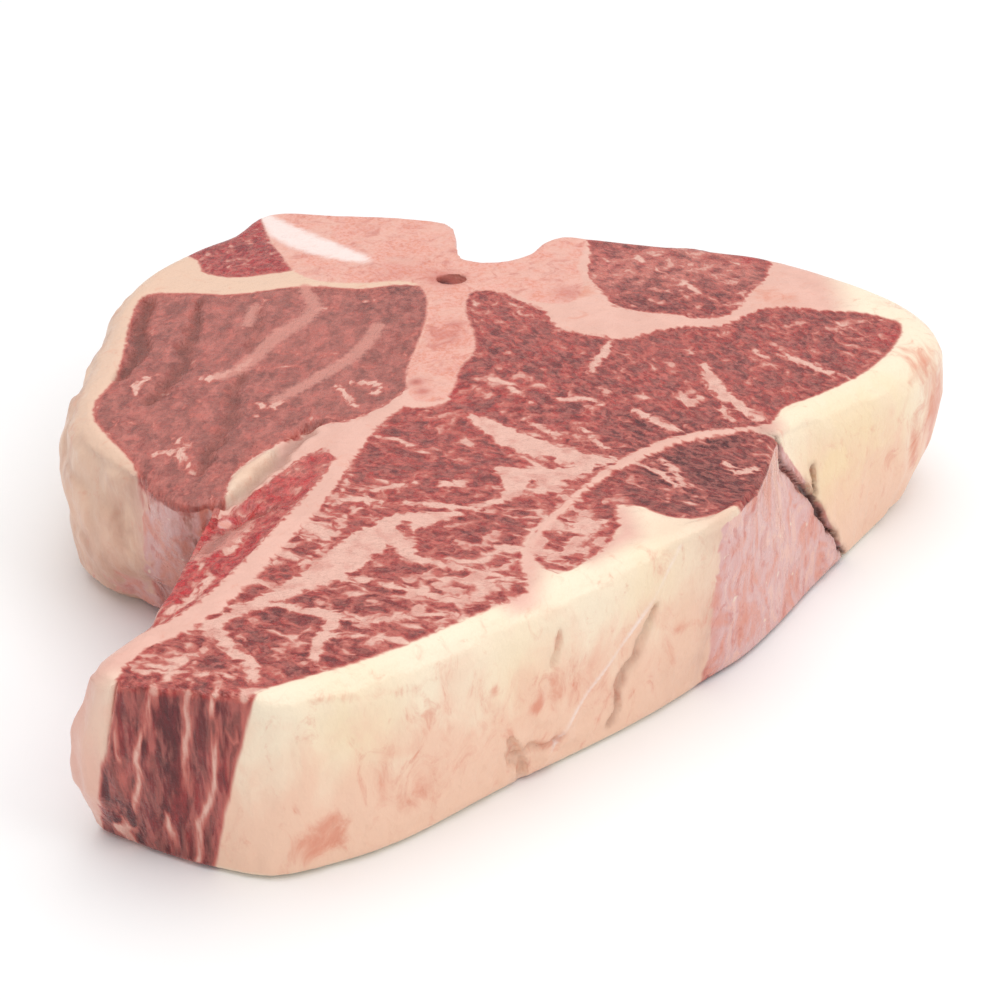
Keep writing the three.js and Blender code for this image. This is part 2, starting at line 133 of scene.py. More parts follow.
# The side that thin membrane covers, from the cap's end to the crack, and the tenderloin's silvery face.
MEMBRANE = [
    (40.2, -6), (44, -14), (66, -6, 6, 0), (66, 14, 16, 12), (53.8, 23, 19, 15), (49.6, 24.6, 18, 14),
    (44, 8, 8, 4),
]
SILVER_FACE = [
    (-67.6, 7.6, 0, 8), (-71, 4, 0, 8), (-62, -8, 0, 8), (-50, -8, 0, 8), (-50.6, 2, 0, 6),
    (-62.6, 3.6, 0, 8),
]

# The raised flap of fat beside the tenderloin, and the wet strip that lies lower at the tail's edge.
FLAP = [
    (-43, 20), (-47.4, 14.4), (-51, 9), (-51.6, 3), (-53, -1), (-49.6, 0.4), (-46.4, 5.6), (-43.2, 12.6),
]
WET_STRIP = [
    (-44.4, 0.6), (-45.4, -2.6), (-49, -8), (-52.4, -13.4), (-58, -22), (-62, -14), (-58, -3), (-52.6, -3),
    (-48.6, -0.4),
]
# The rim of the membrane that curls up along the cut face: x, y and width.
CURLED_EDGE = [
    (34, -9.4, 0.6), (38.6, -7.8, 1.4), (42, -4.4, 1.8), (45.6, 1, 1.6), (48.6, 7, 1.4), (51.2, 14, 1),
]

# Fat in the meat, on the upper cut face: x, y and width along each streak.
STREAKS = [
    [(-7, -4.5, 1.5), (-12, -6, 4), (-18, -8, 7), (-23, -13, 8), (-27, -19, 8), (-31, -24.5, 6.5),
     (-36, -28.5, 4.5), (-41, -33, 3), (-46, -37, 2.4), (-50, -40.5, 3)],
    [(-22, -0.5, 1), (-14, -1, 1.6), (-9, -2.4, 2), (-3, -3.5, 1)],
    [(-18, -13, 5), (-16, -19, 3), (-11, -21.8, 1.8), (-5, -23.5, 1.2), (1, -25.5, 1), (5, -27.5, 0.8)],
    [(-28, -25, 3), (-22, -26.8, 1.4), (-17, -29.2, 1.5), (-12, -31.5, 1.6), (-7, -34, 1)],
    [(-46, -35, 1.6), (-38, -34.2, 1.8), (-33, -36, 2.4), (-29, -37, 2.6), (-28.4, -40, 2.6),
     (-30, -44, 2.6), (-31, -51, 1.6)],
    [(-48, -41, 2.6), (-46.5, -45, 2.6), (-43.5, -49, 2.4), (-41, -52, 2.4), (-40.5, -56, 1.6)],
    [(-60, -53.6, 1), (-52, -54.2, 1.1), (-44, -55.2, 1)],
    [(-28, -37.5, 1.6), (-23, -39, 1.5), (-18, -38.6, 1.6), (-12, -37.2, 1.2), (-7, -37.6, 0.8)],
    [(-29.5, -43.6, 1.2), (-24, -43.8, 1), (-20, -45, 0.8)],
    [(-41.5, -20.6, 1.2), (-36, -20.9, 1.1), (-31, -20.6, 2)],
    [(-45, -26, 1.4), (-40, -28, 1.3), (-36, -28, 2)],
    [(-36, -7, 1), (-31, -8.4, 0.8), (-27.5, -4.4, 1), (-24.5, -1, 0.8), (-25, 3, 1), (-19.5, 5.4, 1.6),
     (-16, 6.4, 1)],
    [(-37, -14.5, 1), (-33.5, -12.4, 0.8), (-31.5, -15, 0.8), (-34, -19, 0.6)],
    [(-32, -1, 0.8), (-29.5, 3, 0.8), (-28.5, 9, 1)],
    [(-24, 24, 1), (-20, 22.5, 1), (-16, 19, 1), (-13, 15.5, 1)],
    [(-11, 6, 2), (-7, 6, 2.4)],
    [(-5.5, 31.5, 2.5), (-2, 28.5, 4.5), (2, 23.5, 6.5), (7, 19.5, 7), (12, 16.8, 6.5), (17, 14.6, 5),
     (21, 14.6, 3)],
    [(0, 11, 2.5), (5, 10, 5), (11, 9.4, 5), (16, 11.5, 4)],
    [(3, 8, 6), (3, 4, 4), (0, 0, 2), (-5, -2.6, 1)],
    [(5, 3, 2), (10, 3.4, 1.6)],
    [(42, 53.5, 1.6), (43, 48, 3), (44.5, 42, 3.4), (47.5, 37, 3), (51, 31.5, 2.4)],
    [(58.5, 58.5, 1.4), (62, 55, 2.2), (67, 50.6, 2), (71, 47.5, 1)],
    [(22.8, 64, 1.6), (22, 59, 2), (19.6, 55, 1.8), (19, 51, 1.2)],
    [(27, 34, 1.6), (31, 30, 2.2), (35, 26, 1.6)],
    [(5, 31, 1), (9, 27, 1.6), (12, 23.5, 1.4)],
    [(16, 27, 1), (19, 22, 1.4), (21, 18.5, 1)],
    [(36, 42, 1.6), (38, 37.5, 2.6), (40, 40, 2)],
    [(44, 36, 1.6), (46, 31, 1.4)],
    [(2, 44, 1.2), (4, 41, 1.4), (6, 38, 1)],
    [(12, 39, 1.6), (17, 39.5, 1.4), (20, 36.5, 1.2)],
    [(53, 60, 1), (55, 57, 1.4)],
    [(8, -8.6, 2), (13, -8.6, 1.6), (19, -7.4, 1.4)],
    [(24, 14.6, 1.2), (27.5, 12.4, 1), (31, 9.4, 1.6), (33, 5.4, 1.2)],
    [(31, 15, 1), (33.4, 11, 1.4), (34.4, 4, 1.2)],
    [(43, 14, 1), (45, 10.6, 1.4), (48.4, 11.4, 2)],
    [(-66, 17, 1.8), (-62, 18, 2), (-60, 13.5, 1.4), (-58, 10, 1)],
    [(-63, 24, 1), (-61.4, 19, 1.4)],
    [(-30, 46, 1.6), (-26, 46.5, 2), (-24, 44, 1.6), (-25.6, 41.6, 1)],
    [(-33, 44.4, 1), (-31, 41, 1.4), (-29, 36, 1.2)],
    [(-72, 48, 1.2), (-74, 44.6, 1.4), (-73, 41, 1)],
    [(-60, 47.4, 2.6), (-56.6, 49.6, 2), (-53.4, 52, 1.8), (-52, 56, 1.2)],
    [(-49, 37, 1.6), (-46, 35, 2), (-44, 38, 1)],
    [(-53, -22, 1), (-51, -26, 1.4), (-53, -31, 1.2), (-57, -37, 1.2)],
    [(-44, -3, 1), (-46.4, -10, 1.2), (-49, -17, 1.6)],
    [(-56.4, -56, 0.2), (-56.8, -62, 0.5), (-57.4, -70, 0.4)],
    [(-50.4, -57, 0.3), (-50.8, -62, 0.8), (-51.6, -70, 0.6)],
    [(-46, -57, 0.2), (-46.4, -62, 0.5), (-47, -70, 0.4)],
]
# Meat that lies like islands in the widest streaks.
ISLANDS = [
    [(-17.4, -9, 2), (-16.4, -12, 2.2)],
    [(0, 13, 1.6), (3.5, 12.8, 1.8), (6, 14.4, 2.4), (9, 15.6, 2)],
]
# Soft pink sinew between the bundles of the tenderloin.
SINEWS = [
    [(-43, 90, 1.6), (-41, 84, 2), (-39.8, 80, 2.2), (-42, 74, 2.6), (-46, 68.5, 3), (-48.6, 63, 2.4),
     (-51, 57, 2.4), (-53.5, 52, 2.6), (-57, 49, 2.6)],
    [(-26, 71, 2), (-28, 64, 2.2), (-30.5, 58, 2), (-33.5, 53, 2.2), (-37, 48.6, 2.6), (-41, 43.5, 2),
     (-45, 38.5, 1.6)],
    [(-53, 80, 1.4), (-54, 72, 1.6)],
    [(-47, -6, 3), (-50, -12, 4.4), (-54, -18.5, 3)],
]
# Grooves on the cut face: x, y and width, then the depth and how dark the shade painted into the groove is.
GROOVES = [
    ([(-77, 85, 1.6), (-76.5, 70, 2), (-75, 62, 2.2), (-76.4, 54, 1.8), (-78, 48, 1)], 1.0, 0.6),
    ([(-66, 83, 1), (-64.6, 72, 1.8), (-66, 62, 2), (-65, 54, 1.8), (-67.6, 46, 2), (-70, 38, 1.6)],
      0.8, 0.5),
    ([(-52, 78, 1), (-51.2, 68, 1.4), (-52.4, 60, 1)], 0.5, 0.3),
    ([(-53, 49, 1), (-54, 38, 1.8), (-53.4, 28, 2), (-55.6, 18, 1.8), (-57, 10, 1)], 0.7, 0.45),
    ([(-36, 29, 1), (-39.5, 22.5, 1.8), (-42.6, 15, 1.8), (-46.4, 7, 1.6), (-51, -0.6, 1.2)], 1.3, 0.45),
    ([(-42, -1, 0.8), (-46.4, -4.4, 1.2), (-49.6, -9.6, 1.2), (-53, -16, 1)], 0.9, 0.45),
]
# Cracks and creases in the side: x, y, z and width, then the depth and how dark the shade painted into them
# is.
CRACKS = [
    ([(54.2, 23.5, 37.3, 0.4), (54.6, 22.5, 32.8, 0.8), (57.2, 25, 28.3, 0.7), (60.9, 27.8, 23.6, 1.2),
      (62.7, 29.2, 19.8, 1.3), (65.3, 31.2, 14.5, 1), (68.5, 34, 7.9, 0.7), (71.7, 38.4, 1, 0.5)],
      1.8, 0.9),
    ([(62.6, 30.5, 26.5, 0.5), (63.4, 30.5, 20.6, 0.8)], 1.2, 0.7),
    ([(28.1, -18.2, 25.8, 1), (24.9, -20.8, 18, 1.4), (21.9, -23.3, 11.5, 1.4), (20.7, -23.5, 3.7, 1)],
      0.9, 0.3),
    ([(10.7, -32.3, 31.2, 0.4), (10.2, -32.9, 28.4, 0.9), (9.3, -33.8, 25.4, 0.5)], 0.7, 0.15),
    ([(3.2, -37.5, 7, 0.6), (5.4, -36.1, 8.1, 1), (8.1, -33.9, 7.1, 0.8), (10.8, -31.8, 7.1, 0.4)],
      0.9, 0.12),
    ([(1.8, -39.3, 11.3, 1), (3.4, -37.6, 6, 2.4), (4.5, -35.8, 1.8, 1.6)], 1.4, 0.12),
]
# The way that the cracked side faces, and how far points on it are drawn together along that way, so that a
# crack's floor still lies near its line.
CRACK_FACING = (0.62, -0.785, 0.0)
CRACK_SQUASH = 0.8
# Width of the fat that shows between the crack and the rump muscle, in millimetres.
BEYOND_CRACK = 2.4
# A thin fold of film that stands out from the cap, and pink and peach lines in the side: x, y, z and width.
FILM_FOLD = [
    (33.3, -12, 37.7, 0.4), (26.7, -19.4, 27.2, 0.5), (20.9, -24.4, 19.5, 0.5), (16.2, -28.2, 14.8, 0.5),
    (11.4, -31.5, 8, 0.4), (8.1, -33.4, 4, 0.3),
]
SCRATCHES = [
    [(-43.2, 17, 38, 0.5), (-46.6, 9, 38, 0.7), (-50.2, 2, 38, 0.7)],
    [(-30.5, -59.6, 35.9, 0.6), (-27.8, -58.3, 35.8, 0.8), (-23, -56.3, 34.5, 0.9), (-19, -54.3, 33.6, 0.7),
     (-14.7, -51.7, 32.5, 0.5)],
    [(-30.3, -60.7, 22.1, 0.8), (-33.3, -61.7, 18.3, 1), (-34.6, -62, 14.6, 0.8)],
    [(-18.8, -55.2, 20.9, 0.5), (-19.6, -55.6, 16.1, 0.8), (-19.8, -55.6, 11.2, 0.6)],
    [(6, -36.3, 16.8, 0.8), (7.1, -35.6, 18.4, 0.6)],
    [(3.2, -37.5, 7, 0.8), (5.4, -36.1, 8.1, 1), (8.1, -33.9, 7.1, 0.8), (10.8, -31.8, 7.1, 0.6)],
    [(10.7, -32.3, 31.2, 0.3), (10.2, -32.9, 28.4, 0.5), (9.3, -33.8, 25.4, 0.3)],
    [(32.7, -14.1, 18.7, 0.7), (35.3, -11.7, 18.6, 1), (40.1, -6.7, 15.8, 0.8)],
    [(41.9, -4.9, 19.4, 1), (43.5, -2.8, 12, 1.4), (44.6, -1.2, 5.1, 1.4)],
    [(76.1, 42.3, 29.3, 1.2), (75.7, 41.1, 20.1, 1.6), (75.3, 40.8, 10.5, 1.2)],
    [(86.6, 52.4, 25.5, 1.6), (87.5, 54.6, 13.8, 2)],
    [(92.6, 61.6, 25.2, 3), (92, 64, 12, 3)],
    [(84.2, 51.7, 34.6, 1.2), (82.6, 48.1, 27.9, 1)],
]
# Where the cap's foot is torn: x, y, z, radius and the height of the shreds.
TORN = [
    (4, -38, 5, 9, 0.8), (12, -31, 5, 7, 0.5), (10, -33, 28, 5, 0.4), (-14, -52, 4, 8, 0.3),
    (44, -2, 6, 8, 0.5),
]
# Patches of the side and of the cut face that are redder or yellower: x, y, z, radius, strength.
BLUSHES = [
    (-28.8, -59.8, 9.2, 4, 0.9), (-32.2, -60.9, 5.7, 4, 0.7), (-13.8, -51.7, 10.1, 3, 0.6),
    (7.1, -35.5, 16.8, 1.2, 0.7), (9.6, -33.3, 29.7, 1.1, 0.5), (-0.9, -41.7, 25.1, 1.1, 0.6),
    (-10, -47, 20, 14, 0.3), (14, -29, 16, 16, 0.2), (30, -16, 14, 12, 0.2), (93, 62, 24, 9, 0.9),
    (56, 14.6, 6.2, 3, 0.8), (51.9, 7.9, 3.6, 2, 0.8), (29.1, -17.2, 34.8, 4, 0.6),
    (14.2, -30, 20.9, 6, 0.25), (86, 80, 38, 8, 0.4), (60, 84, 38, 7, 0.6), (88, 58, 38, 7, 0.7),
    (15.5, 87, 38, 4, 1),
]
YELLOWS = [
    (28, -19, 32, 9, 0.4), (66, 36, 26, 12, 0.7), (78, 46, 30, 10, 0.5), (-24, -56, 30, 9, 0.5),
    (4, -38, 28, 10, 0.3), (-84, 40, 14, 12, 0.4), (-70, 12, 20, 8, 0.5), (-48, 10, 38, 5, 0.4),
]
# Where the fat round the tenderloin shows lilac membrane: x, y, z, radius, strength.
VEILED = [(-68, 8, 8, 9, 0.6), (-74, 16, 4, 7, 0.5), (-82, 28, 6, 7, 0.35), (-64, 4, 22, 6, 0.4)]
# Where a contact shadow is painted, brownish, on the side low beside the tail: x, y, z, radius, strength.
PAINTED_CONTACT_SHADE = [
    (-66, 6, 4, 8, 0.4), (-60, 2, 12, 8, 0.4), (-58, 0, 24, 6, 0.3), (-70, 12, 14, 4, 0.2),
    (-77, 20, 8, 6, 0.16),
]
# White cartilage in the bone: x, y and width.
CARTILAGE = [
    [(-55, 126, 3), (-50, 119, 6), (-44, 112.6, 7), (-37, 107, 5), (-31, 103.6, 2)],
]
# Bright bloody spots in the meat, and dark ones in the bone: x, y, z, radius and strength.
BLOODY = [
    (24, 101, 38, 2, 0.8), (32, 103, 38, 2, 0.8), (36, 109, 38, 2, 0.8), (55, 103, 38, 4, 0.9),
    (82, 66, 38, 4, 0.7), (-9, 42, 38, 3, 0.5), (4, -20, 38, 5, 0.4), (-42, 1.5, 38, 3, 0.8),
]
PORES = [
    (-17, 46, 38, 1.7, 0.7), (-15.6, 42, 38, 1.5, 0.6), (-12, 94, 35.6, 3.4, 1.3),
    (-10.5, 108, 38, 1.2, 0.5), (15, 87, 38, 3.4, 0.4), (-11, 66, 38, 4, 0.25), (-9.6, 72, 38, 2, 0.3),
    (-22, 98, 38, 6, 0.2),
]
# Meat that is paler, and fat that is beige: x, y, radius and strength.
PALE = [
    (38, 106, 14, 1.3), (26, 97, 10, 1.0), (54, 97, 9, 0.8), (-38, 12, 8, 0.8), (-42, -4, 8, 0.4),
    (-52, 62, 12, 0.5), (-62, 76, 10, 0.3), (-34, 64, 10, 0.4), (-34, 40, 8, 0.3), (8, 68, 8, 0.3),
    (30, 62, 8, 0.3), (-60, 28, 10, 0.3), (48, 50, 10, 0.3), (-10, 20, 10, 0.2),
]
BEIGE = [
    (-84, 20, 26, 0.9), (-66, 4, 14, 0.8), (-60, 94, 16, 0.7), (-84, 70, 16, 0.5), (-30, 90, 12, 0.9),
    (40, -6, 6, 0.9), (47, 4, 6, 0.9), (30, -10, 6, 0.4), (-46, 12, 8, 0.7),
]

# Fat that is pink because little of it lies between two muscles: x, y and width.
PINK_SEAMS = [
    [(3, -32, 5), (4.6, -22, 5), (7.4, -10, 5), (13.4, 2.4, 5), (20.6, 11.6, 5.4), (28, 18.6, 5.4),
     (38, 24.6, 6), (52, 28, 5)],
    [(22, -4, 3), (23, -12, 3), (16, -20, 1)],
]

# Where fat runs thickly or thinly through the meat, and where the meat is darker: x, y, radius, strength.
MARBLED = [
    (3, -24, 13, 0.35), (-12, -30, 12, 0.15), (13, -14, 9, 0.5), (13, 0, 7, 0.3), (-6, -34, 12, 0.2),
    (12, 6, 8, 0.3), (34, 48, 24, -0.12), (-30, -6, 9, 0.35), (-36, -16, 7, 0.3), (64, 56, 20, -0.1),
    (40, 98, 16, 0.3), (10, 64, 14, -0.2), (-14, 14, 12, -0.15), (40, 12, 12, -0.35), (-50, -48, 8, 0.3),
    (-20, -42, 8, 0.2),
]
WINE = [
    (36, 12, 16, 0.75), (44, 20, 10, 0.5), (33, -1, 8, 0.4), (-23, 86, 9, 0.5), (36, 86, 13, 0.7),
    (54, 90, 7, 0.5), (70, 71, 8, 0.4), (28, 29, 6, 0.5), (20, 45, 5, 0.6), (9, 35, 5, 0.4),
    (64, 48, 8, 0.4), (-26, -31, 8, 0.35), (-60, 108, 12, 0.6), (24, 55, 4, 0.4), (-37, -17, 3, 0.5),
    (30, 10, 2, 1), (-30, -44, 14, 0.4), (-8, -30, 14, 0.35), (-50, -50, 10, 0.4), (0, -10, 10, 0.3),
]
# The way the grain runs on the cut face where it doesn't run as in the strip, in degrees.
GRAIN = {"tenderloin": 82, "tail_muscle": 62, "chine_muscle": 62}
# How moist each tissue's surface is, as a clear coat's weight.
MOISTURE = {
    "lean": 0.12, "fillet_lean": 0.12, "tail_lean": 0.3, "cap_fat": 0.05, "seam_fat": 0.1, "bone": 0.05,
}
# Heights and depths of the shapes on the blank, in millimetres.
FLAP_HEIGHT = 0.8
WET_STRIP_DEPTH = 1.3
RIM_HEIGHT = 0.5
FOLD_HEIGHT = 0.4
STREAK_HEIGHT = 0.12
FURROW_DEPTH = 0.35
CREASE_DEPTH = 0.35
# What is cut out of the blank, in this order: the piece's node, the knife's outline and the slot.
MUSCLES = (
    ("tenderloin", TENDERLOIN, "fillet_lean"),
    ("strip_loin", STRIP_LOIN, "lean"),
    ("rump_muscle", RUMP_MUSCLE, "lean"),
    ("tail_muscle", TAIL_MUSCLE, "tail_lean"),
    ("back_muscle", BACK_MUSCLE, "lean"),
    ("chine_muscle", CHINE_MUSCLE, "tail_lean"),
)
FAT = (
    ("loin_end_fat", LOIN_END_ZONE, "cap_fat"),
    ("fillet_fat", FILLET_FAT_ZONE, "cap_fat"),
    ("back_seam_fat", BACK_SEAM_ZONE, "seam_fat"),
    ("tail_seam_fat", TAIL_SEAM_ZONE, "seam_fat"),
)


def linear(red, green, blue):
    """A colour given in screen values from 0 to 255, as the light it stands for."""
    shares = [value / 255 for value in (red, green, blue)]
    return [s / 12.92 if s <= 0.04045 else ((s + 0.055) / 1.055) ** 2.4 for s in shares]


def colour_property(name, description, screen):
    """A colour setting, whose default is given in screen values from 0 to 255."""
    return FloatVectorProperty(
        name=name, description=description, default=linear(*screen), subtype="COLOR", size=3, min=0, max=1
    )


class SteakShape(PropertyGroup):
    grid: FloatProperty(
        name="Grid", description="Spacing of the surface points", default=0.0006, min=0.0004, max=0.003,
        unit="LENGTH", precision=4,
    )
    fuse: FloatProperty(
        name="Fuse", description="How far the tissues swell to close up into one blank", default=0.00035,
        min=0.0002, max=0.001, unit="LENGTH", precision=5,
    )
    lumps: FloatProperty(
        name="Lumps", description="Height of the lumps in the fat on the side", default=0.0013, min=0,
        max=0.003, unit="LENGTH", precision=4,
    )
    grooves: FloatProperty(
        name="Grooves", description="How deep grooves and cracks are, 1 as measured", default=1.0, min=0,
        max=2, subtype="FACTOR",
    )
    seed: IntProperty(name="Seed", description="Number that the lumps grow from", default=7, min=0)


class SteakColours(PropertyGroup):
    meat: colour_property("Meat", "Loin meat", (124, 50, 50))
    pale_meat: colour_property("Pale meat", "Loin meat where it is lighter", (154, 72, 68))
    sinew: colour_property("Sinew", "Thin sinew in the tenderloin", (216, 146, 132))
    dry_fat: colour_property("Dry fat", "Dried, browner fat round the tenderloin", (198, 150, 130))
    faded_meat: colour_property("Faded meat", "Meat with fine fat in it", (206, 122, 110))
    red_meat: colour_property("Red meat", "Loin meat beside the fat", (182, 58, 52))
    fillet: colour_property("Fillet", "Duller meat of the tenderloin", (154, 86, 78))
    wet_meat: colour_property("Wet meat", "Bright wet meat of the tail", (184, 38, 42))
    wine_meat: colour_property("Wine meat", "Darkest meat", (86, 20, 26))
    marbling: colour_property("Marbling", "Fat inside the meat", (228, 178, 162))
    edge: colour_property("Edge", "Where fat turns into meat", (196, 104, 92))
    seam: colour_property("Seam fat", "Fat between the muscles", (234, 184, 168))
    cap: colour_property("Cap fat", "Fat of the cap and the loin's end", (250, 232, 206))
    beige: colour_property("Beige fat", "Fat round the tenderloin", (228, 186, 162))
    peach: colour_property("Peach", "Cap fat low on the side", (244, 202, 176))
    yellow: colour_property("Yellow", "Yellowish fat", (248, 216, 168))
    blush: colour_property("Blush", "Fat with meat showing through", (222, 138, 112))
    film: colour_property("Membrane", "Membrane over the side", (220, 174, 170))
    bone: colour_property("Bone", "Sawn bone", (234, 172, 158))
    cartilage: colour_property("Cartilage", "White cartilage", (250, 232, 226))
    # The groove and crack colours are painted shade: dark colours put on the floors of grooves and cracks.
    groove_shade: colour_property("Groove", "Floor of grooves", (98, 46, 34))
    crack_shade: colour_property("Crack", "Floor of the deepest crack", (54, 20, 14))


class SteakStage(PropertyGroup):
    floor: colour_property("Floor", "Plain floor", (250, 250, 250))
    world: FloatProperty(
        name="Surrounding light", description="Even light from all sides", default=0.62, min=0,
        subtype="FACTOR",
    )
    top: FloatProperty(
        name="Top light", description="Wide light from above", default=22.0, min=0, unit="POWER"
    )
    key: FloatProperty(
        name="Key light", description="Soft light from the right", default=2.2, min=0, unit="POWER"
    )
    lens: FloatProperty(
        name="Lens", description="Focal length", default=79.2, min=10, max=300, unit="CAMERA"
    )


def raw(points):
    """Points of the frame, in metres, as the outlines' millimetres."""
    moved = np.array(points, float) * 1000
    moved[:, 0] += MIDDLE[0]
    moved[:, 1] += MIDDLE[1]
    return moved


def smoothstep(low, high, values):
    """0 where a value is at the low mark or beyond, 1 at the high mark or beyond, and smooth between."""
    share = np.clip((values - low) / (high - low), 0, 1)
    return share * share * (3 - 2 * share)


def smooth_outline(rows, step=3.2):
    """Closed centripetal curve through an outline's points, read back about a step apart, with the leans."""
    rows = np.array([(*row, 0, 0)[:4] for row in rows], float)
    found = []
    for i in range(len(rows)):
        p = [rows[(i + k) % len(rows)] for k in (-1, 0, 1, 2)]
        gaps = [max(np.hypot(*(p[k + 1] - p[k])[:2]) ** 0.5, 1e-3) for k in range(3)]
        middle = (p[2] - p[1]) / gaps[1]
        start = (p[1] - p[0]) / gaps[0] - (p[2] - p[0]) / (gaps[0] + gaps[1]) + middle
        end = middle - (p[3] - p[1]) / (gaps[1] + gaps[2]) + (p[3] - p[2]) / gaps[2]
        start, end = start * gaps[1], end * gaps[1]
        parts = max(1, round(np.hypot(*(p[2] - p[1])[:2]) / step))
        for t in np.arange(parts) / parts:
            bend = (2 * t**3 - 3 * t**2 + 1) * p[1] + (t**3 - 2 * t**2 + t) * start
            bend = bend + (3 * t**2 - 2 * t**3) * p[2] + (t**3 - t**2) * end
            bend[2:] = p[1][2:] + (p[2][2:] - p[1][2:]) * t
            found.append(bend)
    return np.array(found)


def depth_in(points, outline, reach=8.0):
    """How deep each point lies inside a leaning outline, in millimetres, negative outside it."""
    rows = smooth_outline(outline)
    lean = np.abs(rows[:, 2:]).max()
    low = rows[:, :2].min(0) - reach - lean
    high = rows[:, :2].max(0) + reach + lean
    near = np.flatnonzero(np.all((points[:, :2] > low) & (points[:, :2] < high), axis=1))
    depth = np.full(len(points), -reach)
    for chosen in np.array_split(near, max(1, len(near) // BATCH)):
        p = points[chosen]
        share = (1 - p[:, 2] / THICKNESS)[:, None, None]
        a = rows[None, :, :2] + share * rows[None, :, 2:] - p[:, None, :2]
        b = np.roll(a, -1, axis=1)
        side = b - a
        t = np.clip(-(a * side).sum(2) / np.maximum((side * side).sum(2), 1e-9), 0, 1)
        away = np.sqrt(((a + side * t[:, :, None]) ** 2).sum(2)).min(1)
        cuts = (a[:, :, 1] > 0) != (b[:, :, 1] > 0)
        rise = np.where(np.abs(side[:, :, 1]) < 1e-9, 1e-9, side[:, :, 1])
        crossed = cuts & (a[:, :, 0] - a[:, :, 1] * side[:, :, 0] / rise > 0)
        inside = crossed.sum(1) % 2 == 1
        depth[chosen] = np.clip(np.where(inside, away, -away), -reach, reach)
    return depth


def ribbon(points, rows, reach=5.0):
    """How deep each point lies in a ribbon of varying width, in millimetres, negative outside it. The
    ribbon's rows are places with a width, with as many numbers for a place as the points have."""
    rows = np.array(rows, float)
    count = points.shape[1]
    depth = np.full(len(points), -reach)
    for first, second in zip(rows[:-1], rows[1:]):
        a, b = first[:count], second[:count]
        low, high = np.minimum(a, b) - reach, np.maximum(a, b) + reach
        near = np.flatnonzero(np.all((points > low) & (points < high), axis=1))
        p = points[near] - a
        along = b - a
        t = np.clip(p @ along / (along @ along), 0, 1)
        away = np.sqrt(((p - t[:, None] * along) ** 2).sum(1))
        half = (first[count] + (second[count] - first[count]) * t) / 2
        depth[near] = np.maximum(depth[near], half - away)
    return depth


def jagged(points):
    """The same points, moved a little this way and that, so that a line between them runs unevenly."""
    moved = points.copy()
    for axis in (0, 1, 2):
        moved[:, axis] += 0.8 * hills(points, 3.4, 41 + axis) + 0.35 * hills(points, 1.3, 51 + axis)
    return moved


def squashed(places):
    """Places drawn together along the way that the cracked side faces."""
    facing = np.array(CRACK_FACING)
    return places - CRACK_SQUASH * np.outer(places @ facing, facing)


def crack_depth(points, rows):
    """How deep each point lies in a crack's band, in millimetres, negative outside it."""
    rows = np.array(rows, float)
    return ribbon(squashed(points), np.column_stack([squashed(rows[:, :3]), rows[:, 3]]))


def creases(points, seed):
    """How near each point is to a winding crease of the fat round the tenderloin, from 0 to 1."""
    return smoothstep(0.3, 0.0, np.abs(hills(points, 10, seed + 18)))


def furrows(points, seed):
    """How near each point is to a winding furrow of the cap, from 0 to 1."""
    return smoothstep(0.5, 0.05, np.abs(hills(points * (1, 1, 0.3), 12, seed + 12)))


def deepest(points, ribbons):
    """How deep each point lies in the ribbon that it is deepest in."""
    return np.max([ribbon(points, rows) for rows in ribbons], axis=0)


def blobs(points, rows):
    """Sum of soft round patches: each row is the patch's middle, its radius and its strength."""
    total = np.zeros(len(points))
    for row in rows:
        middle, radius, strength = np.array(row[:-2]), row[-2], row[-1]
        away = ((points[:, : len(middle)] - middle) ** 2).sum(1) / radius**2
        total += strength * np.exp(-away)
    return total


def hills(points, size, seed):
    """Smooth random heights from -1 to 1, a hill about every size millimetres."""
    scaled = points / size + seed * 17.31
    cell = np.floor(scaled).astype(np.int64)
    t = scaled - cell
    t = t * t * (3 - 2 * t)
    total = np.zeros(len(points))
    for corner in np.ndindex(2, 2, 2):
        at = cell + corner
        mixed = (at[:, 0] * 73856093) ^ (at[:, 1] * 19349663) ^ (at[:, 2] * 83492791) ^ (seed * 2654435)
        mixed = (mixed ^ (mixed >> 13)) * 1274126177 & 0x7FFFFFFF
        value = (mixed ^ (mixed >> 16)) % 65536 / 32767.5 - 1
        share = np.prod(np.where(np.array(corner) == 1, t, 1 - t), axis=1)
        total += value * share
    return total


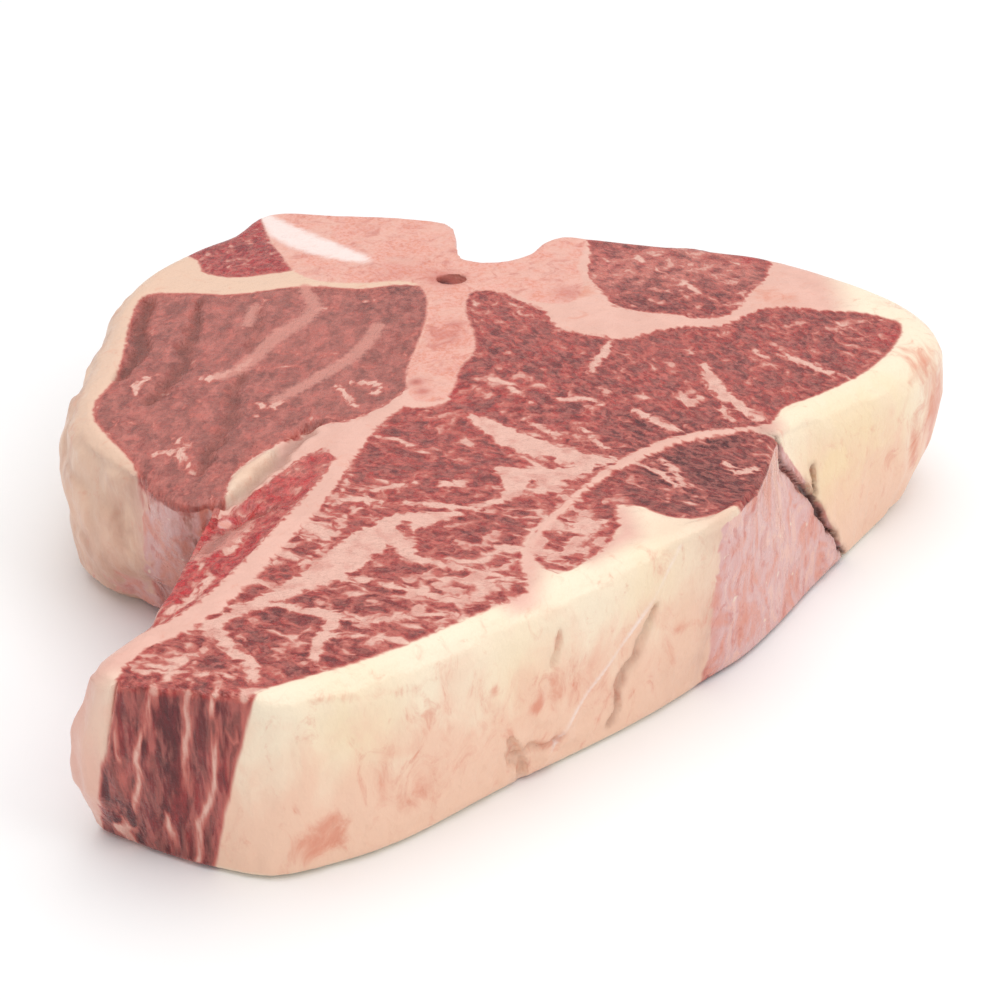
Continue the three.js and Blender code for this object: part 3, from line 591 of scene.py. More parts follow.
def relief(points, normals, shape):
    """How far each point of the blank rises along its normal, in millimetres."""
    up = smoothstep(0.45, 0.85, normals[:, 2])
    under = smoothstep(0.45, 0.85, -normals[:, 2])
    side = (1 - up - under) * smoothstep(0.2, 3.0, points[:, 2])
    flat = points[:, :2]
    seed = shape.seed
    lobe = smoothstep(-58, -68, points[:, 0]) * side * smoothstep(-60, -40, points[:, 1])
    front = smoothstep(-48, -53, points[:, 1]) * smoothstep(-38, -42, points[:, 0]) * side
    film = smoothstep(-3, 1, depth_in(points, MEMBRANE)) * side
    cap = side * (1 - lobe) * (1 - front) * (1 - film)
    lumps = shape.lumps * 1000
    tall = points * (1, 1, 0.35)
    height = cap * lumps * (0.5 * hills(points, 21, seed) + 0.35 * hills(tall, 8, seed + 1))
    height += cap * lumps * 0.2 * hills(tall, 3.2, seed + 2)
    height -= cap * FURROW_DEPTH * furrows(points, seed)
    height += blobs(points, TORN) * side * hills(points, 2.6, seed + 15)
    height += lobe * lumps * (0.9 * hills(points, 15, seed + 3) + 0.5 * hills(points, 6, seed + 4))
    height += lobe * (0.22 * hills(points, 2.6, seed + 16) + 0.3 * hills(points, 4.4, seed + 17))
    height -= lobe * CREASE_DEPTH * creases(points, seed)
    height += film * lumps * (0.35 * hills(points, 14, seed + 5) + 0.1 * hills(tall, 4, seed + 6))
    beads = smoothstep(0.6, 0.9, hills(points, 3.4, seed + 19))
    height += film * (0.4 * beads + 0.2 * hills(points, 5, seed + 20))
    waves = points * (1, 1, 0.12)
    waves[:, 0] += 1.4 * hills(points, 8, seed + 13)
    height += front * (0.5 * hills(waves, 3, seed + 7) + 0.2 * hills(waves, 1.6, seed + 14) - 0.25)
    meat = np.max([depth_in(points, rows) for rows in (STRIP_LOIN, TENDERLOIN, RUMP_MUSCLE)], axis=0)
    height += up * (0.22 * hills(points, 17, seed + 8) + 0.1 * hills(points, 5, seed + 9))
    height += up * (0.25 * smoothstep(0.5, -1.5, meat) - 0.2)
    height += up * STREAK_HEIGHT * smoothstep(-0.8, 1.0, deepest(flat, STREAKS))
    fillet = smoothstep(-1, 2, depth_in(points, TENDERLOIN))
    height += up * fillet * 0.35 * hills(points * (1, 0.25, 1), 8, seed + 10)
    tail = smoothstep(-0.5, 2.0, depth_in(points, TAIL_MUSCLE))
    height += up * tail * (0.55 * hills(points, 6, seed + 21) + 0.3 * hills(points, 2.8, seed + 22) - 0.45)
    uneven = jagged(points)
    for rows, deep, _ in GROOVES:
        height -= up * deep * shape.grooves * smoothstep(-1.4, 0.4, ribbon(uneven[:, :2], rows))
    for rows, deep, _ in CRACKS:
        height -= deep * shape.grooves * smoothstep(-0.55, 0.3, crack_depth(uneven, rows))
    height += FOLD_HEIGHT * smoothstep(-0.7, 0.3, ribbon(points, FILM_FOLD)) * side
    height += up * FLAP_HEIGHT * smoothstep(-0.5, 1.8, depth_in(points, FLAP))
    height -= up * WET_STRIP_DEPTH * smoothstep(-0.4, 1.4, depth_in(points, WET_STRIP))
    height += up * RIM_HEIGHT * smoothstep(-0.6, 0.6, ribbon(flat, CURLED_EDGE))
    height -= under * 0.12 * (1 + hills(points, 9, seed + 11))
    return height


def shift(mesh, amounts, normals):
    """Moves each point of a mesh along its normal by an amount in metres."""
    places = np.zeros(len(mesh.vertices) * 3, np.float32)
    mesh.vertices.foreach_get("co", places)
    moved = places.reshape(-1, 3) + normals * np.asarray(amounts)[:, None]
    mesh.vertices.foreach_set("co", moved.astype(np.float32).ravel())
    mesh.update()


def places_of(mesh):
    """The points of a mesh and their normals, as rows of numbers."""
    places = np.zeros(len(mesh.vertices) * 3, np.float32)
    mesh.vertices.foreach_get("co", places)
    normals = np.zeros(len(mesh.vertices) * 3, np.float32)
    mesh.vertex_normals.foreach_get("vector", normals)
    return places.reshape(-1, 3).astype(float), normals.reshape(-1, 3).astype(float)


def finished(thing):
    """A mesh as its modifiers leave it. The modifiers are taken off."""
    graph = bpy.context.evaluated_depsgraph_get()
    mesh = bpy.data.meshes.new_from_object(thing.evaluated_get(graph))
    thing.modifiers.clear()
    return mesh


def add_object(name, data):
    thing = bpy.data.objects.new(name, data)
    bpy.context.scene.collection.objects.link(thing)
    return thing


def remove_object(thing):
    mesh = thing.data
    bpy.data.objects.remove(thing)
    if mesh.users == 0:
        bpy.data.meshes.remove(mesh)


def make_blank(shape):
    """The whole steak as one closed body: the frame's tissues, swollen until they meet, fused and shaped."""
    bm = bmesh.new()
    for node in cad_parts.values():
        bm.from_mesh(node.data)
    bmesh.ops.remove_doubles(bm, verts=bm.verts, dist=MERGE_DISTANCE)
    bm.normal_update()
    steps = [vert.normal * shape.fuse for vert in bm.verts]
    for vert, step in zip(bm.verts, steps):
        vert.co += step
    rough = bpy.data.meshes.new("steak_blank_rough")
    bm.to_mesh(rough)
    bm.free()
    blank = add_object("steak_blank", rough)
    fuse = blank.modifiers.new("fuse", "REMESH")
    fuse.mode = "VOXEL"
    fuse.voxel_size = shape.grid * 1
    settle = blank.modifiers.new("settle", "SMOOTH")
    settle.factor = 0.5
    settle.iterations = 2
    blank.data = finished(blank)
    bpy.data.meshes.remove(rough)
    places, normals = places_of(blank.data)
    if len(places) < BLANK_LEAST:
        raise RuntimeError("the blank came out empty")
    rise = relief(raw(places), normals, shape) / 1000 - shape.fuse * 0.8
    shift(blank.data, rise, normals)
    return blank


def make_cutter(name, outline):
    """An upright knife round an outline, which leans as the outline does and passes through the blank."""
    rows = smooth_outline(outline)
    share = 1 + KNIFE_OVER / THICKNESS
    bm = bmesh.new()
    ring = []
    for x, y, lean_x, lean_y in rows:
        place = (x + lean_x * share - MIDDLE[0], y + lean_y * share - MIDDLE[1], -KNIFE_OVER)
        ring.append(bm.verts.new(np.array(place) / 1000))
    sole = bm.faces.new(ring)
    raised = bmesh.ops.extrude_face_region(bm, geom=[sole], use_keep_orig=True)
    lifted = [part for part in raised["geom"] if isinstance(part, bmesh.types.BMVert)]
    tall = 1 + 2 * KNIFE_OVER / THICKNESS
    for vert in lifted:
        k = min(range(len(ring)), key=lambda i: (ring[i].co - vert.co).length_squared)
        lean_x, lean_y = rows[k][2:]
        vert.co += Vector((-lean_x * tall, -lean_y * tall, THICKNESS + 2 * KNIFE_OVER)) / 1000
    bmesh.ops.recalc_face_normals(bm, faces=bm.faces)
    mesh = bpy.data.meshes.new(name)
    bm.to_mesh(mesh)
    bm.free()
    return add_object(name, mesh)


def cut_with(thing, cutter, operation):
    """What a cut leaves of a body, as a mesh."""
    cut = thing.modifiers.new("cut", "BOOLEAN")
    cut.operation = operation
    cut.solver = "MANIFOLD"
    cut.object = cutter
    return finished(thing)


def drop_crumbs(mesh):
    """Keeps the largest connected body of a mesh."""
    bm = bmesh.new()
    bm.from_mesh(mesh)
    left = set(bm.verts)
    bodies = []
    while left:
        start = left.pop()
        body, front = [start], [start]
        while front:
            vert = front.pop()
            for edge in vert.link_edges:
                other = edge.other_vert(vert)
                if other in left:
                    left.remove(other)
                    body.append(other)
                    front.append(other)
        bodies.append(body)
    bodies.sort(key=len)
    crumbs = [vert for body in bodies[:-1] for vert in body]
    bmesh.ops.delete(bm, geom=crumbs, context="VERTS")
    bmesh.ops.recalc_face_normals(bm, faces=bm.faces)
    bm.to_mesh(mesh)
    bm.free()


def finish_piece(piece, node, slot_name):
    """Shades, marks and dresses a piece, and puts it in its node's place."""
    drop_crumbs(piece.data)
    piece.data.shade_smooth()
    piece.data.set_sharp_from_angle(angle=math.radians(SHARP_ANGLE))
    mark_tissue(piece.data, node)
    piece.data.materials.clear()
    piece.data.materials.append(tissue_material(slot_name))
    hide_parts(node)
    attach(piece, "root")


def cut_piece(node, outline, slot_name):
    """Takes one tissue out of the blank."""
    blank = bpy.data.objects.get("steak_blank")
    if blank is None:
        raise RuntimeError("there is no blank to cut: make it first")
    cutter = make_cutter("knife", outline)
    taken = cut_with(blank, cutter, "INTERSECT")
    left = cut_with(blank, cutter, "DIFFERENCE")
    remove_object(cutter)
    if min(len(taken.vertices), len(left.vertices)) < PIECE_LEAST:
        raise RuntimeError("the cut for " + node + " found nothing")
    old = blank.data
    blank.data = left
    bpy.data.meshes.remove(old)
    finish_piece(add_object(node + "_piece", taken), node, slot_name)


def grain_of(points, node):
    """Places on the meat's own grain, in millimetres: along the strands, across them, and down the loin."""
    turn = -20 - 38 * smoothstep(10, 45, points[:, 0] * 0.5 + points[:, 1] * 0.8)
    turn = np.radians(GRAIN.get(node, turn))
    x, y = points[:, 0] - 14, points[:, 1] - 20
    along = x * np.cos(turn) + y * np.sin(turn)
    across = y * np.cos(turn) - x * np.sin(turn)
    return np.stack([along * 0.5, across, points[:, 2] * 0.14], axis=1)


def write_mark(mesh, name, columns):
    """Stores three numbers at each point of a mesh."""
    mark = mesh.attributes.new(name, "FLOAT_VECTOR", "POINT")
    mark.data.foreach_set("vector", np.stack(columns, axis=1).astype(np.float32).ravel())


def mark_tissue(mesh, node):
    """Stores at each point what tissue it lies in, how deep, what tints it, and where shade is painted."""
    points = raw(places_of(mesh)[0])
    z = points[:, 2]
    flat = points[:, :2].copy()
    flat[:, 0] += 6.5 * (1 - z / THICKNESS) * smoothstep(-44, -54, points[:, 1])
    flat[:, 0] += 2.4 * hills(points * (0.4, 0.4, 1), 7, 31) * smoothstep(37.5, 32, z)
    flat[:, 1] += 1.6 * hills(points * (0.4, 0.4, 1), 9, 32) * smoothstep(37.5, 30, z)
    bone = depth_in(points, T_BONE)
    strip = depth_in(points, STRIP_LOIN)
    fillet = depth_in(points, TENDERLOIN)
    rump = np.minimum(depth_in(points, RUMP_MUSCLE), -BEYOND_CRACK - depth_in(points, LOIN_END_ZONE))
    tail = np.maximum(depth_in(points, TAIL_MUSCLE), depth_in(points, CHINE_MUSCLE))
    back = depth_in(points, BACK_MUSCLE)
    lean = np.max([strip, fillet, rump, tail, back], axis=0)
    streak = np.maximum(deepest(flat, STREAKS), -5)
    streak = np.minimum(streak, -deepest(flat, ISLANDS))
    sinew = deepest(flat, SINEWS)
    side = smoothstep(37.2, 36.0, z) * smoothstep(0.4, 1.6, z)
    front = side * smoothstep(-47, -52, points[:, 1]) * smoothstep(-36, -40, points[:, 0])
    dull = smoothstep(-0.5, 0.5, fillet)
    wet = np.clip(smoothstep(-0.5, 0.5, tail) + 0.3 * front + blobs(points, BLOODY), 0, 1)
    wine = np.clip(blobs(flat, WINE) + 0.75 * front, 0, 1)
    seamy = np.maximum(depth_in(points, BACK_SEAM_ZONE), depth_in(points, TAIL_SEAM_ZONE))
    seamy = np.maximum(smoothstep(-5, 5, seamy), smoothstep(-4, 2, deepest(flat, PINK_SEAMS)) * (1 - side))
    seamy *= 1 - 0.8 * smoothstep(-1, 1.5, depth_in(points, FLAP))
    film = smoothstep(-3, 3, depth_in(points, MEMBRANE)) * smoothstep(37.6, 36.4, z)
    silver = smoothstep(-1, 1.5, depth_in(points, SILVER_FACE)) * smoothstep(36.8, 35.8, z)
    film = np.maximum(film, 0.62 * silver) * smoothstep(0.2, 1.2, z)
    film = np.maximum(film, np.clip(blobs(points, VEILED), 0, 0.6) * side)
    # Painted shade: darkening painted into grooves, cracks and creases, and a painted contact shadow low on
    # the side.
    painted_shade = np.zeros(len(points))
    uneven = jagged(points)
    for rows, _, shade in GROOVES:
        near = smoothstep(-1.5, 0.7, ribbon(uneven[:, :2], rows))
        painted_shade = np.maximum(painted_shade, shade * near * smoothstep(33, 36, z))
    for rows, _, shade in CRACKS:
        away = crack_depth(uneven, rows)
        near = 0.3 * smoothstep(-1.8, -0.2, away) + 0.7 * smoothstep(-0.4, 0.2, away)
        painted_shade = np.maximum(painted_shade, shade * near)
    # Painted contact shadow, brownish, low on the side beside the tail.
    painted_shade = np.maximum(painted_shade, np.clip(blobs(points, PAINTED_CONTACT_SHADE), 0, 0.5) * side)
    seed = bpy.context.scene.steak_shape.seed
    lobe = smoothstep(-60, -68, points[:, 0]) * smoothstep(-20, -6, points[:, 1]) * side
    # Painted shade in the creases of the fat round the tenderloin.
    painted_shade = np.maximum(painted_shade, 0.1 * lobe * creases(points, seed))
    cartilage = smoothstep(-3.5, 1.5, deepest(flat, CARTILAGE)) * smoothstep(30, 36, z)
    cartilage = np.maximum(cartilage, 0.8 * smoothstep(-0.5, 0.3, ribbon(points, FILM_FOLD)))
    marbled = np.max(
        [0.55 * smoothstep(-4, -2, strip), 0.5 * smoothstep(-4, -2, rump), 0.45 * smoothstep(-3, -1, back),
         0.5 * smoothstep(-3, -1, tail)], axis=0,
    )
    marbled = np.where(fillet > -1, 0.22, marbled) + blobs(flat, MARBLED) - 0.4 * front
    rosy = blobs(points, BLUSHES) + 0.5 * smoothstep(-1.8, 1.0, deepest(points, SCRATCHES))
    rosy += 0.15 * side * (1 - lobe) * furrows(points, seed)
    beige = blobs(flat, BEIGE) + 0.7 * smoothstep(-2, 4, depth_in(points, FILLET_FAT_ZONE))
    tints = np.clip([rosy, blobs(points, YELLOWS), blobs(points, PORES), blobs(flat, PALE), beige], 0, 1)
    blush, yellow, pores, pale, beige = tints
    write_mark(mesh, "flesh", [np.minimum(lean, -bone), streak, sinew])
    write_mark(mesh, "tone", [dull, wet, wine])
    write_mark(mesh, "fat_tone", [seamy, blush, yellow])
    write_mark(mesh, "skin_and_shade", [side, film, painted_shade])
    write_mark(mesh, "bony", [bone, cartilage, pores])
    write_mark(mesh, "grain", list(grain_of(points, node).T))
    write_mark(mesh, "shades", [np.clip(marbled, 0, 1.5), pale, beige])


class Graph:
    """Adds nodes to a node tree and links them. Sizes are in millimetres."""

    def __init__(self, tree):
        self.tree = tree

    def add(self, kind, inputs, **settings):
        node = self.tree.nodes.new(kind)
        for key, value in settings.items():
            setattr(node, key, value)
        for key, value in inputs.items():
            if isinstance(value, bpy.types.NodeSocket):
                self.tree.links.new(value, node.inputs[key])
            else:
                node.inputs[key].default_value = value
        return node

    def maths(self, operation, *values):
        return self.add("ShaderNodeMath", dict(enumerate(values)), operation=operation).outputs[0]

    def ramp(self, value, low, high, start=0.0, end=1.0):
        inputs = dict(enumerate((value, low, high, start, end)))
        return self.add("ShaderNodeMapRange", inputs, interpolation_type="SMOOTHSTEP").outputs[0]

    def times(self, first, second):
        return self.maths("MULTIPLY", first, second)

    def line(self, value, slope, offset):
        """A value times a slope, plus an offset."""
        return self.maths("MULTIPLY_ADD", value, slope, offset)

    def blend(self, share, first, second):
        """A number between two numbers."""
        return self.add("ShaderNodeMix", {0: share, 2: first, 3: second}).outputs[0]

    def mix(self, share, first, second, way="MIX"):
        """A colour between two colours, or their product where the way is MULTIPLY."""
        inputs = {0: share, 6: self.paint(first), 7: self.paint(second)}
        return self.add("ShaderNodeMix", inputs, data_type="RGBA", blend_type=way).outputs[2]

    def paint(self, colour):
        return colour if isinstance(colour, bpy.types.NodeSocket) else (*colour, 1.0)

    def stretched(self, place, factors):
        return self.add("ShaderNodeVectorMath", {0: place, 1: factors}, operation="MULTIPLY").outputs[0]

    def noise(self, place, size, detail=2.0, rough=0.5, distort=0.0, output=0):
        inputs = {"Vector": place, "Scale": 1 / size, "Detail": detail, "Roughness": rough}
        inputs["Distortion"] = distort
        return self.add("ShaderNodeTexNoise", inputs).outputs[output]

    def bundles(self, place, size):
        """Distance to the nearest edge between bundles of the given size, in millimetres."""
        inputs = {"Vector": place, "Scale": 1 / size}
        cells = self.add("ShaderNodeTexVoronoi", inputs, feature="DISTANCE_TO_EDGE", voronoi_dimensions="2D")
        return self.times(cells.outputs["Distance"], size)

    def worms(self, place, size):
        """Distance to winding lines that are about the given size apart, in millimetres."""
        wave = self.maths("SUBTRACT", self.noise(place, size, 1.0), 0.5)
        return self.times(self.maths("ABSOLUTE", wave), size * 2.0)

    def mark(self, name):
        """The three numbers of a mark."""
        read = self.add("ShaderNodeAttribute", {}, attribute_name=name)
        return self.add("ShaderNodeSeparateXYZ", {0: read.outputs["Vector"]}).outputs


def flesh_group(colours):
    """The look of every tissue, by its marks, so that it runs on smoothly from one piece to the next."""
    tree = bpy.data.node_groups.new("flesh", "ShaderNodeTree")
    tree.interface.new_socket("Colour", in_out="OUTPUT", socket_type="NodeSocketColor")
    tree.interface.new_socket("Roughness", in_out="OUTPUT", socket_type="NodeSocketFloat")
    tree.interface.new_socket("Height", in_out="OUTPUT", socket_type="NodeSocketFloat")
    g = Graph(tree)
    lean, streak, sinew = g.mark("flesh")
    dull, wet, wine = g.mark("tone")
    seamy, blush, yellow = g.mark("fat_tone")
    side, film, painted_shade = g.mark("skin_and_shade")
    bone, cartilage, pores = g.mark("bony")
    marbled, pale, beige = g.mark("shades")
    grain = g.add("ShaderNodeAttribute", {}, attribute_name="grain").outputs["Vector"]
    spot = g.add("ShaderNodeTexCoord", {}).outputs["Object"]
    place = g.add("ShaderNodeVectorMath", {0: spot, 3: 1000.0}, operation="SCALE").outputs[0]
    down = g.stretched(place, (1.0, 1.0, 0.2))
    soft_place = g.stretched(place, (1.0, 1.0, 0.6))

    # Wandering places, so that no edge runs straight.
    swirl = g.noise(down, 3.4, 2.0, 0.55, output="Color")
    centred = g.add("ShaderNodeVectorMath", {0: swirl, 1: (0.5, 0.5, 0.5)}, operation="SUBTRACT")
    drift = g.add("ShaderNodeVectorMath", {0: centred.outputs[0], 3: 3.4}, operation="SCALE")
    strands = g.add("ShaderNodeVectorMath", {0: grain, 1: drift.outputs[0]}, operation="ADD").outputs[0]
    fringe = g.noise(down, 1.2, 2.0, 0.6)
    fringe_mm = g.line(fringe, 2.0, -1.0)

    # Fat between the bundles of the meat: wide where the steak is well marbled, broken up by slow noise.
    slow = g.noise(down, 7.5, 2.0)
    quick = g.noise(down, 3.4, 2.0)
    richness = g.line(marbled, 0.29, -0.725)
    small_edge = g.bundles(strands, 2.4)
    wide = g.times(g.maths("ADD", slow, richness), 6.5)
    thin = g.times(g.maths("ADD", quick, richness), 5.0)
    big = g.maths("SUBTRACT", wide, g.bundles(strands, 6.0))
    small = g.maths("SUBTRACT", thin, g.worms(strands, 3.0))
    lobes = g.line(small_edge, -1.2, g.line(fringe_mm, 0.5, 0.5))
    ragged = g.maths("ADD", streak, lobes)
    marble = g.maths("MAXIMUM", g.maths("MAXIMUM", big, small), ragged)
    inner = g.maths("SUBTRACT", lean, g.times(lobes, g.line(seamy, 0.5, 0.25)))
    fatness = g.maths("MAXIMUM", marble, g.times(inner, -1.0))

    # Meat, brownest in the middle of its bundles and reddest beside the fat.
    mottle = g.noise(down, 4.4, 3.0, 0.62)
    fibres = g.noise(strands, 0.9, 3.0, 0.65)
    meat = g.mix(g.ramp(mottle, 0.36, 0.68), colours.meat, colours.pale_meat)
    soft_meat = g.mix(g.ramp(mottle, 0.34, 0.66), colours.fillet, colours.faded_meat)
    meat = g.mix(g.times(dull, 0.85), meat, g.mix(0.45, colours.fillet, soft_meat))
    rim = g.ramp(fatness, -1.5, -0.25, 0.0, 0.75)
    meat = g.mix(g.times(rim, g.line(dull, -0.7, 1.0)), meat, colours.red_meat)
    meat = g.mix(wet, meat, colours.wet_meat)
    wine_share = g.times(wine, g.ramp(mottle, 0.66, 0.34, 0.4, 1.0))
    meat = g.mix(wine_share, meat, colours.wine_meat)
    faint = g.line(g.maths("ADD", fringe, -0.4), 3.6, g.times(small_edge, -1.0))
    faded = g.times(pale, g.ramp(quick, 0.3, 0.6))
    pallor = g.maths("MAXIMUM", g.ramp(faint, -0.5, 0.4, 0.0, 0.4), faded)
    meat = g.mix(pallor, meat, colours.faded_meat)
    streaky = g.ramp(g.noise(strands, 2.8, 3.0, 0.6), 0.3, 0.7, 0.74, 1.18)
    calm = g.times(streaky, g.ramp(fibres, 0.28, 0.72, 0.9, 1.06))
    lively = g.ramp(fibres, 0.28, 0.72, 0.6, 1.24)
    grey = dict(enumerate([g.blend(dull, lively, calm)] * 3))
    meat = g.mix(1.0, meat, g.add("ShaderNodeCombineColor", grey).outputs[0], "MULTIPLY")

    # Fat.
    clouds = g.noise(soft_place, 8.0, 3.0, 0.55, 0.6)
    rosy = g.noise(soft_place, 5.0, 4.0, 0.68, 1.2)
    height = g.add("ShaderNodeSeparateXYZ", {0: place}).outputs[2]
    low = g.times(g.ramp(g.line(clouds, 36.0, height), 54.0, 34.0), side)
    fat = g.mix(low, colours.cap, colours.peach)
    fat = g.mix(g.times(yellow, g.ramp(clouds, 0.3, 0.6, 0.5, 1.0)), fat, colours.yellow)
    fat = g.mix(g.times(beige, 0.8), fat, colours.beige)
    patches = g.noise(soft_place, 9.0, 4.0, 0.6, 0.3)
    dry = g.times(g.times(beige, side), g.ramp(patches, 0.4, 0.72, 0.0, 0.65))
    fat = g.mix(dry, fat, colours.dry_fat)
    fat = g.mix(seamy, fat, g.mix(g.ramp(clouds, 0.36, 0.62), colours.seam, colours.marbling))
    bloom = g.ramp(g.line(rosy, 1.6, blush), 1.0, 1.9, 0.0, 0.8)
    fat = g.mix(bloom, fat, colours.blush)
    fat = g.mix(g.ramp(rosy, 0.54, 0.8, 0.0, 0.4), fat, colours.blush)
    between = g.mix(g.ramp(fringe, 0.3, 0.65), colours.marbling, colours.seam)
    between = g.mix(g.ramp(quick, 0.46, 0.7, 0.0, 0.35), between, colours.edge)
    fat = g.mix(g.ramp(inner, 0.8, -0.9), between, fat)
    fat = g.mix(g.times(cartilage, side), fat, colours.cartilage)
    colour = g.mix(g.ramp(fatness, -0.6, 0.12), meat, colours.edge)
    colour = g.mix(g.ramp(fatness, -0.15, 0.6), colour, fat)
    tender = g.ramp(g.line(fringe_mm, 1.1, sinew), -1.3, 0.3, 0.0, 0.75)
    colour = g.mix(tender, colour, colours.sinew)

    # Membrane, bone, and the shade painted into grooves, cracks, creases and low on the side.
    veil = g.noise(soft_place, 6.0, 3.0, 0.6, 0.8)
    sheet = g.mix(g.ramp(veil, 0.46, 0.66, 0.0, 0.7), colours.film, colours.blush)
    sheet = g.mix(g.ramp(veil, 0.5, 0.36, 0.0, 0.8), sheet, colours.seam)
    blotches = g.noise(soft_place, 3.4, 4.0, 0.7, 0.8)
    sheet = g.mix(g.ramp(blotches, 0.52, 0.66, 0.0, 0.55), sheet, colours.edge)
    flecks = g.noise(place, 2.4, 1.0)
    sheet = g.mix(g.ramp(flecks, 0.7, 0.78, 0.0, 0.6), sheet, colours.cap)
    torn = g.line(g.maths("ADD", veil, -0.5), 1.4, film)
    colour = g.mix(g.ramp(torn, 0.36, 0.6), colour, sheet)
    sponge = g.noise(place, 0.8, 2.0, 0.7)
    sawn = g.mix(g.ramp(sponge, 0.34, 0.6, 0.3, 1.0), colours.blush, colours.bone)
    sawn = g.mix(g.ramp(clouds, 0.4, 0.62, 0.0, 0.6), sawn, colours.seam)
    sawn = g.mix(g.ramp(rosy, 0.5, 0.74, 0.0, 0.6), sawn, colours.edge)
    gristle = g.line(g.maths("ADD", rosy, -0.5), 1.2, cartilage)
    sawn = g.mix(g.ramp(gristle, 0.2, 1.0, 0.0, 0.9), sawn, colours.cartilage)
    bloody = g.mix(g.ramp(pores, 0.5, 1.0), colours.red_meat, colours.wine_meat)
    sawn = g.mix(pores, sawn, bloody)
    colour = g.mix(g.ramp(g.line(fringe_mm, 0.5, bone), -0.6, 0.6), colour, sawn)
    # Painted shade in grooves, cracks and creases, darkest on the floor of the deepest crack.
    colour = g.mix(painted_shade, colour, g.mix(g.ramp(painted_shade, 0.5, 0.9), colours.groove_shade, colours.crack_shade))

    # Gloss and fine relief, the relief in millimetres.
    is_fat = g.ramp(fatness, -0.1, 0.3)
    waxy = g.noise(soft_place, 3.0, 3.0, 0.6)
    soft = g.maths("MAXIMUM", g.ramp(lean, -0.5, 0.5, 1.0, 0.0), g.ramp(film, 0.1, 0.5))
    gloss = g.blend(soft, fringe, waxy)
    rough = g.ramp(gloss, 0.3, 0.7, 0.26, 0.42)
    rough = g.line(is_fat, 0.08, rough)
    rough = g.line(wet, -0.06, rough)
    rough = g.line(film, -0.1, rough)
    fine = g.noise(place, 0.7, 1.0, 0.6)
    grainy = g.noise(grain, 0.8, 2.0, 0.6)
    meat_relief = g.line(grainy, 0.55, g.times(fine, 0.14))
    fat_relief = g.line(waxy, 0.5, g.times(fine, 0.06))
    relief_mm = g.blend(soft, meat_relief, fat_relief)
    out = tree.nodes.new("NodeGroupOutput")
    tree.links.new(colour, out.inputs["Colour"])
    tree.links.new(rough, out.inputs["Roughness"])
    tree.links.new(relief_mm, out.inputs["Height"])
    return tree


def tissue_material(slot_name):
    """A tissue's material, made the first time it is asked for."""
    found = bpy.data.materials.get(slot_name + "_finish")
    if found is not None:
        return found
    group = bpy.data.node_groups.get("flesh") or flesh_group(bpy.context.scene.steak_colours)
    material = bpy.data.materials.new(slot_name + "_finish")
    material.use_nodes = True
    tree = material.node_tree
    surface = tree.nodes["Principled BSDF"]
    g = Graph(tree)
    flesh = g.add("ShaderNodeGroup", {}, node_tree=group)
    bump = g.add("ShaderNodeBump", {"Height": flesh.outputs["Height"], "Distance": 0.001, "Strength": 1.0})
    tree.links.new(flesh.outputs["Colour"], surface.inputs["Base Color"])
    tree.links.new(flesh.outputs["Roughness"], surface.inputs["Roughness"])
    tree.links.new(bump.outputs["Normal"], surface.inputs["Normal"])
    surface.inputs["Coat Weight"].default_value = MOISTURE[slot_name]
    surface.inputs["Coat Roughness"].default_value = 0.18
    surface.inputs["Specular IOR Level"].default_value = 0.4
    return material


def add_light(name, place, target, size, power):
    """A square soft light that points at a target."""
    light = bpy.data.lights.new(name, "AREA")
    light.shape = "SQUARE"
    light.size = size
    light.energy = power
    lamp = add_object(name, light)
    lamp.location = place
    lamp.rotation_euler = (Vector(target) - Vector(place)).to_track_quat("-Z", "Y").to_euler()


def make_floor(colour):
    """A plain floor just below the steak."""
    bm = bmesh.new()
    bmesh.ops.create_grid(bm, x_segments=1, y_segments=1, size=4)
    mesh = bpy.data.meshes.new("floor")
    bm.to_mesh(mesh)
    bm.free()
    material = bpy.data.materials.new("floor_finish")
    material.use_nodes = True
    surface = material.node_tree.nodes["Principled BSDF"]
    surface.inputs["Base Color"].default_value = (*colour, 1)
    surface.inputs["Roughness"].default_value = 0.7
    surface.inputs["Specular IOR Level"].default_value = 0.2
    mesh.materials.append(material)
    floor = add_object("floor", mesh)
    floor.location = (0, 0, -0.0002)


def make_camera(lens):
    """The camera, at the place and angle that the photograph was taken from."""
    camera = bpy.data.cameras.new("camera")
    camera.lens = lens
    camera.sensor_width = 36
    camera.clip_start = 0.01
    viewer = add_object("camera", camera)
    viewer.location = CAMERA_PLACE
    viewer.rotation_euler = (math.radians(CAMERA_TILT), 0, 0)
    bpy.context.scene.camera = viewer


class STEAK_OT_blank(Operator):
    """Fuse the frame's tissues into one shaped blank"""

    bl_idname = "steak.blank"
    bl_label = "Blank"

    def execute(self, context):
        make_blank(context.scene.steak_shape)
        return {"FINISHED"}


class STEAK_OT_bone(Operator):
    """Cut the T-shaped bone out of the blank"""

    bl_idname = "steak.bone"
    bl_label = "Bone"

    def execute(self, context):
        cut_piece("t_bone", T_BONE, "bone")
        return {"FINISHED"}


class STEAK_OT_muscles(Operator):
    """Cut the muscles out of the blank"""

    bl_idname = "steak.muscles"
    bl_label = "Muscles"

    def execute(self, context):
        for node, outline, slot_name in MUSCLES:
            cut_piece(node, outline, slot_name)
        return {"FINISHED"}


class STEAK_OT_fat(Operator):
    """Part what is left of the blank into the bodies of fat"""

    bl_idname = "steak.fat"
    bl_label = "Fat"

    def execute(self, context):
        for node, outline, slot_name in FAT:
            cut_piece(node, outline, slot_name)
        cap = bpy.data.objects["steak_blank"]
        cap.name = "cap_fat_piece"
        finish_piece(cap, "cap_fat", "cap_fat")
        return {"FINISHED"}


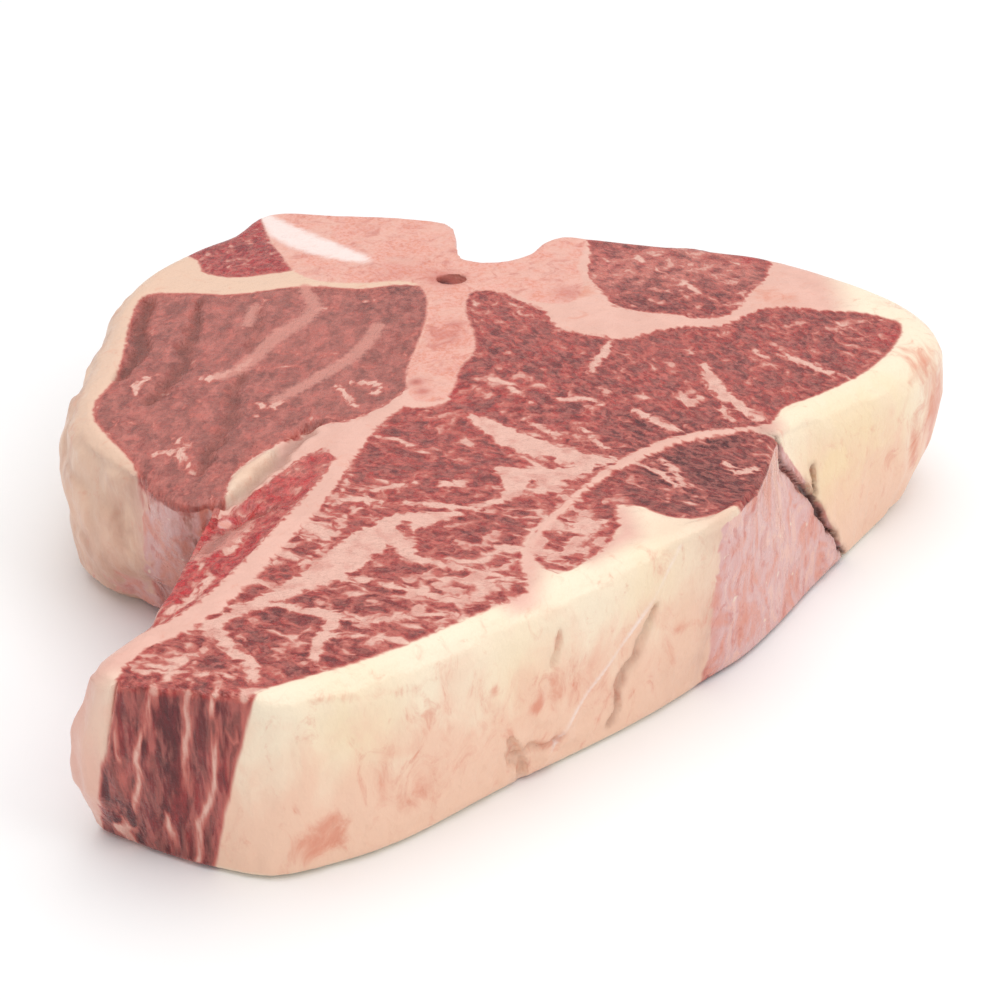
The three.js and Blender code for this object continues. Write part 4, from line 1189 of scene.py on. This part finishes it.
class STEAK_OT_stage(Operator):
    """Set up the floor, the soft lights and the camera"""

    bl_idname = "steak.stage"
    bl_label = "Stage"

    def execute(self, context):
        stage = context.scene.steak_stage
        make_floor(stage.floor)
        add_light("top_light", *TOP_LIGHT, stage.top)
        add_light("key_light", *KEY_LIGHT, stage.key)
        world = bpy.data.worlds.new("studio")
        world.use_nodes = True
        backdrop = world.node_tree.nodes["Background"].inputs
        backdrop["Color"].default_value = (1, 1, 1, 1)
        backdrop["Strength"].default_value = stage.world
        context.scene.world = world
        context.scene.view_settings.view_transform = "Standard"
        make_camera(stage.lens)
        return {"FINISHED"}


class STEAK_PT_panel(Panel):
    bl_label = "Porterhouse steak"
    bl_idname = "STEAK_PT_panel"
    bl_space_type = "VIEW_3D"
    bl_region_type = "UI"
    bl_category = "Steak"

    def draw(self, context):
        layout = self.layout
        for operator in OPERATORS:
            layout.operator(operator.bl_idname)
        for settings, kind in (
            (context.scene.steak_shape, SteakShape),
            (context.scene.steak_colours, SteakColours),
            (context.scene.steak_stage, SteakStage),
        ):
            box = layout.box()
            for name in kind.__annotations__:
                box.prop(settings, name)


OPERATORS = (STEAK_OT_blank, STEAK_OT_bone, STEAK_OT_muscles, STEAK_OT_fat, STEAK_OT_stage)
CLASSES = (SteakShape, SteakColours, SteakStage, *OPERATORS, STEAK_PT_panel)


def register():
    for kind in CLASSES:
        bpy.utils.register_class(kind)
    bpy.types.Scene.steak_shape = PointerProperty(type=SteakShape)
    bpy.types.Scene.steak_colours = PointerProperty(type=SteakColours)
    bpy.types.Scene.steak_stage = PointerProperty(type=SteakStage)


def unregister():
    del bpy.types.Scene.steak_stage
    del bpy.types.Scene.steak_colours
    del bpy.types.Scene.steak_shape
    for kind in reversed(CLASSES):
        bpy.utils.unregister_class(kind)


def main():
    register()
    bpy.ops.steak.blank()
    bpy.ops.steak.bone()
    bpy.ops.steak.muscles()
    bpy.ops.steak.fat()
    bpy.ops.steak.stage()


if __name__ == "__main__":
    main()
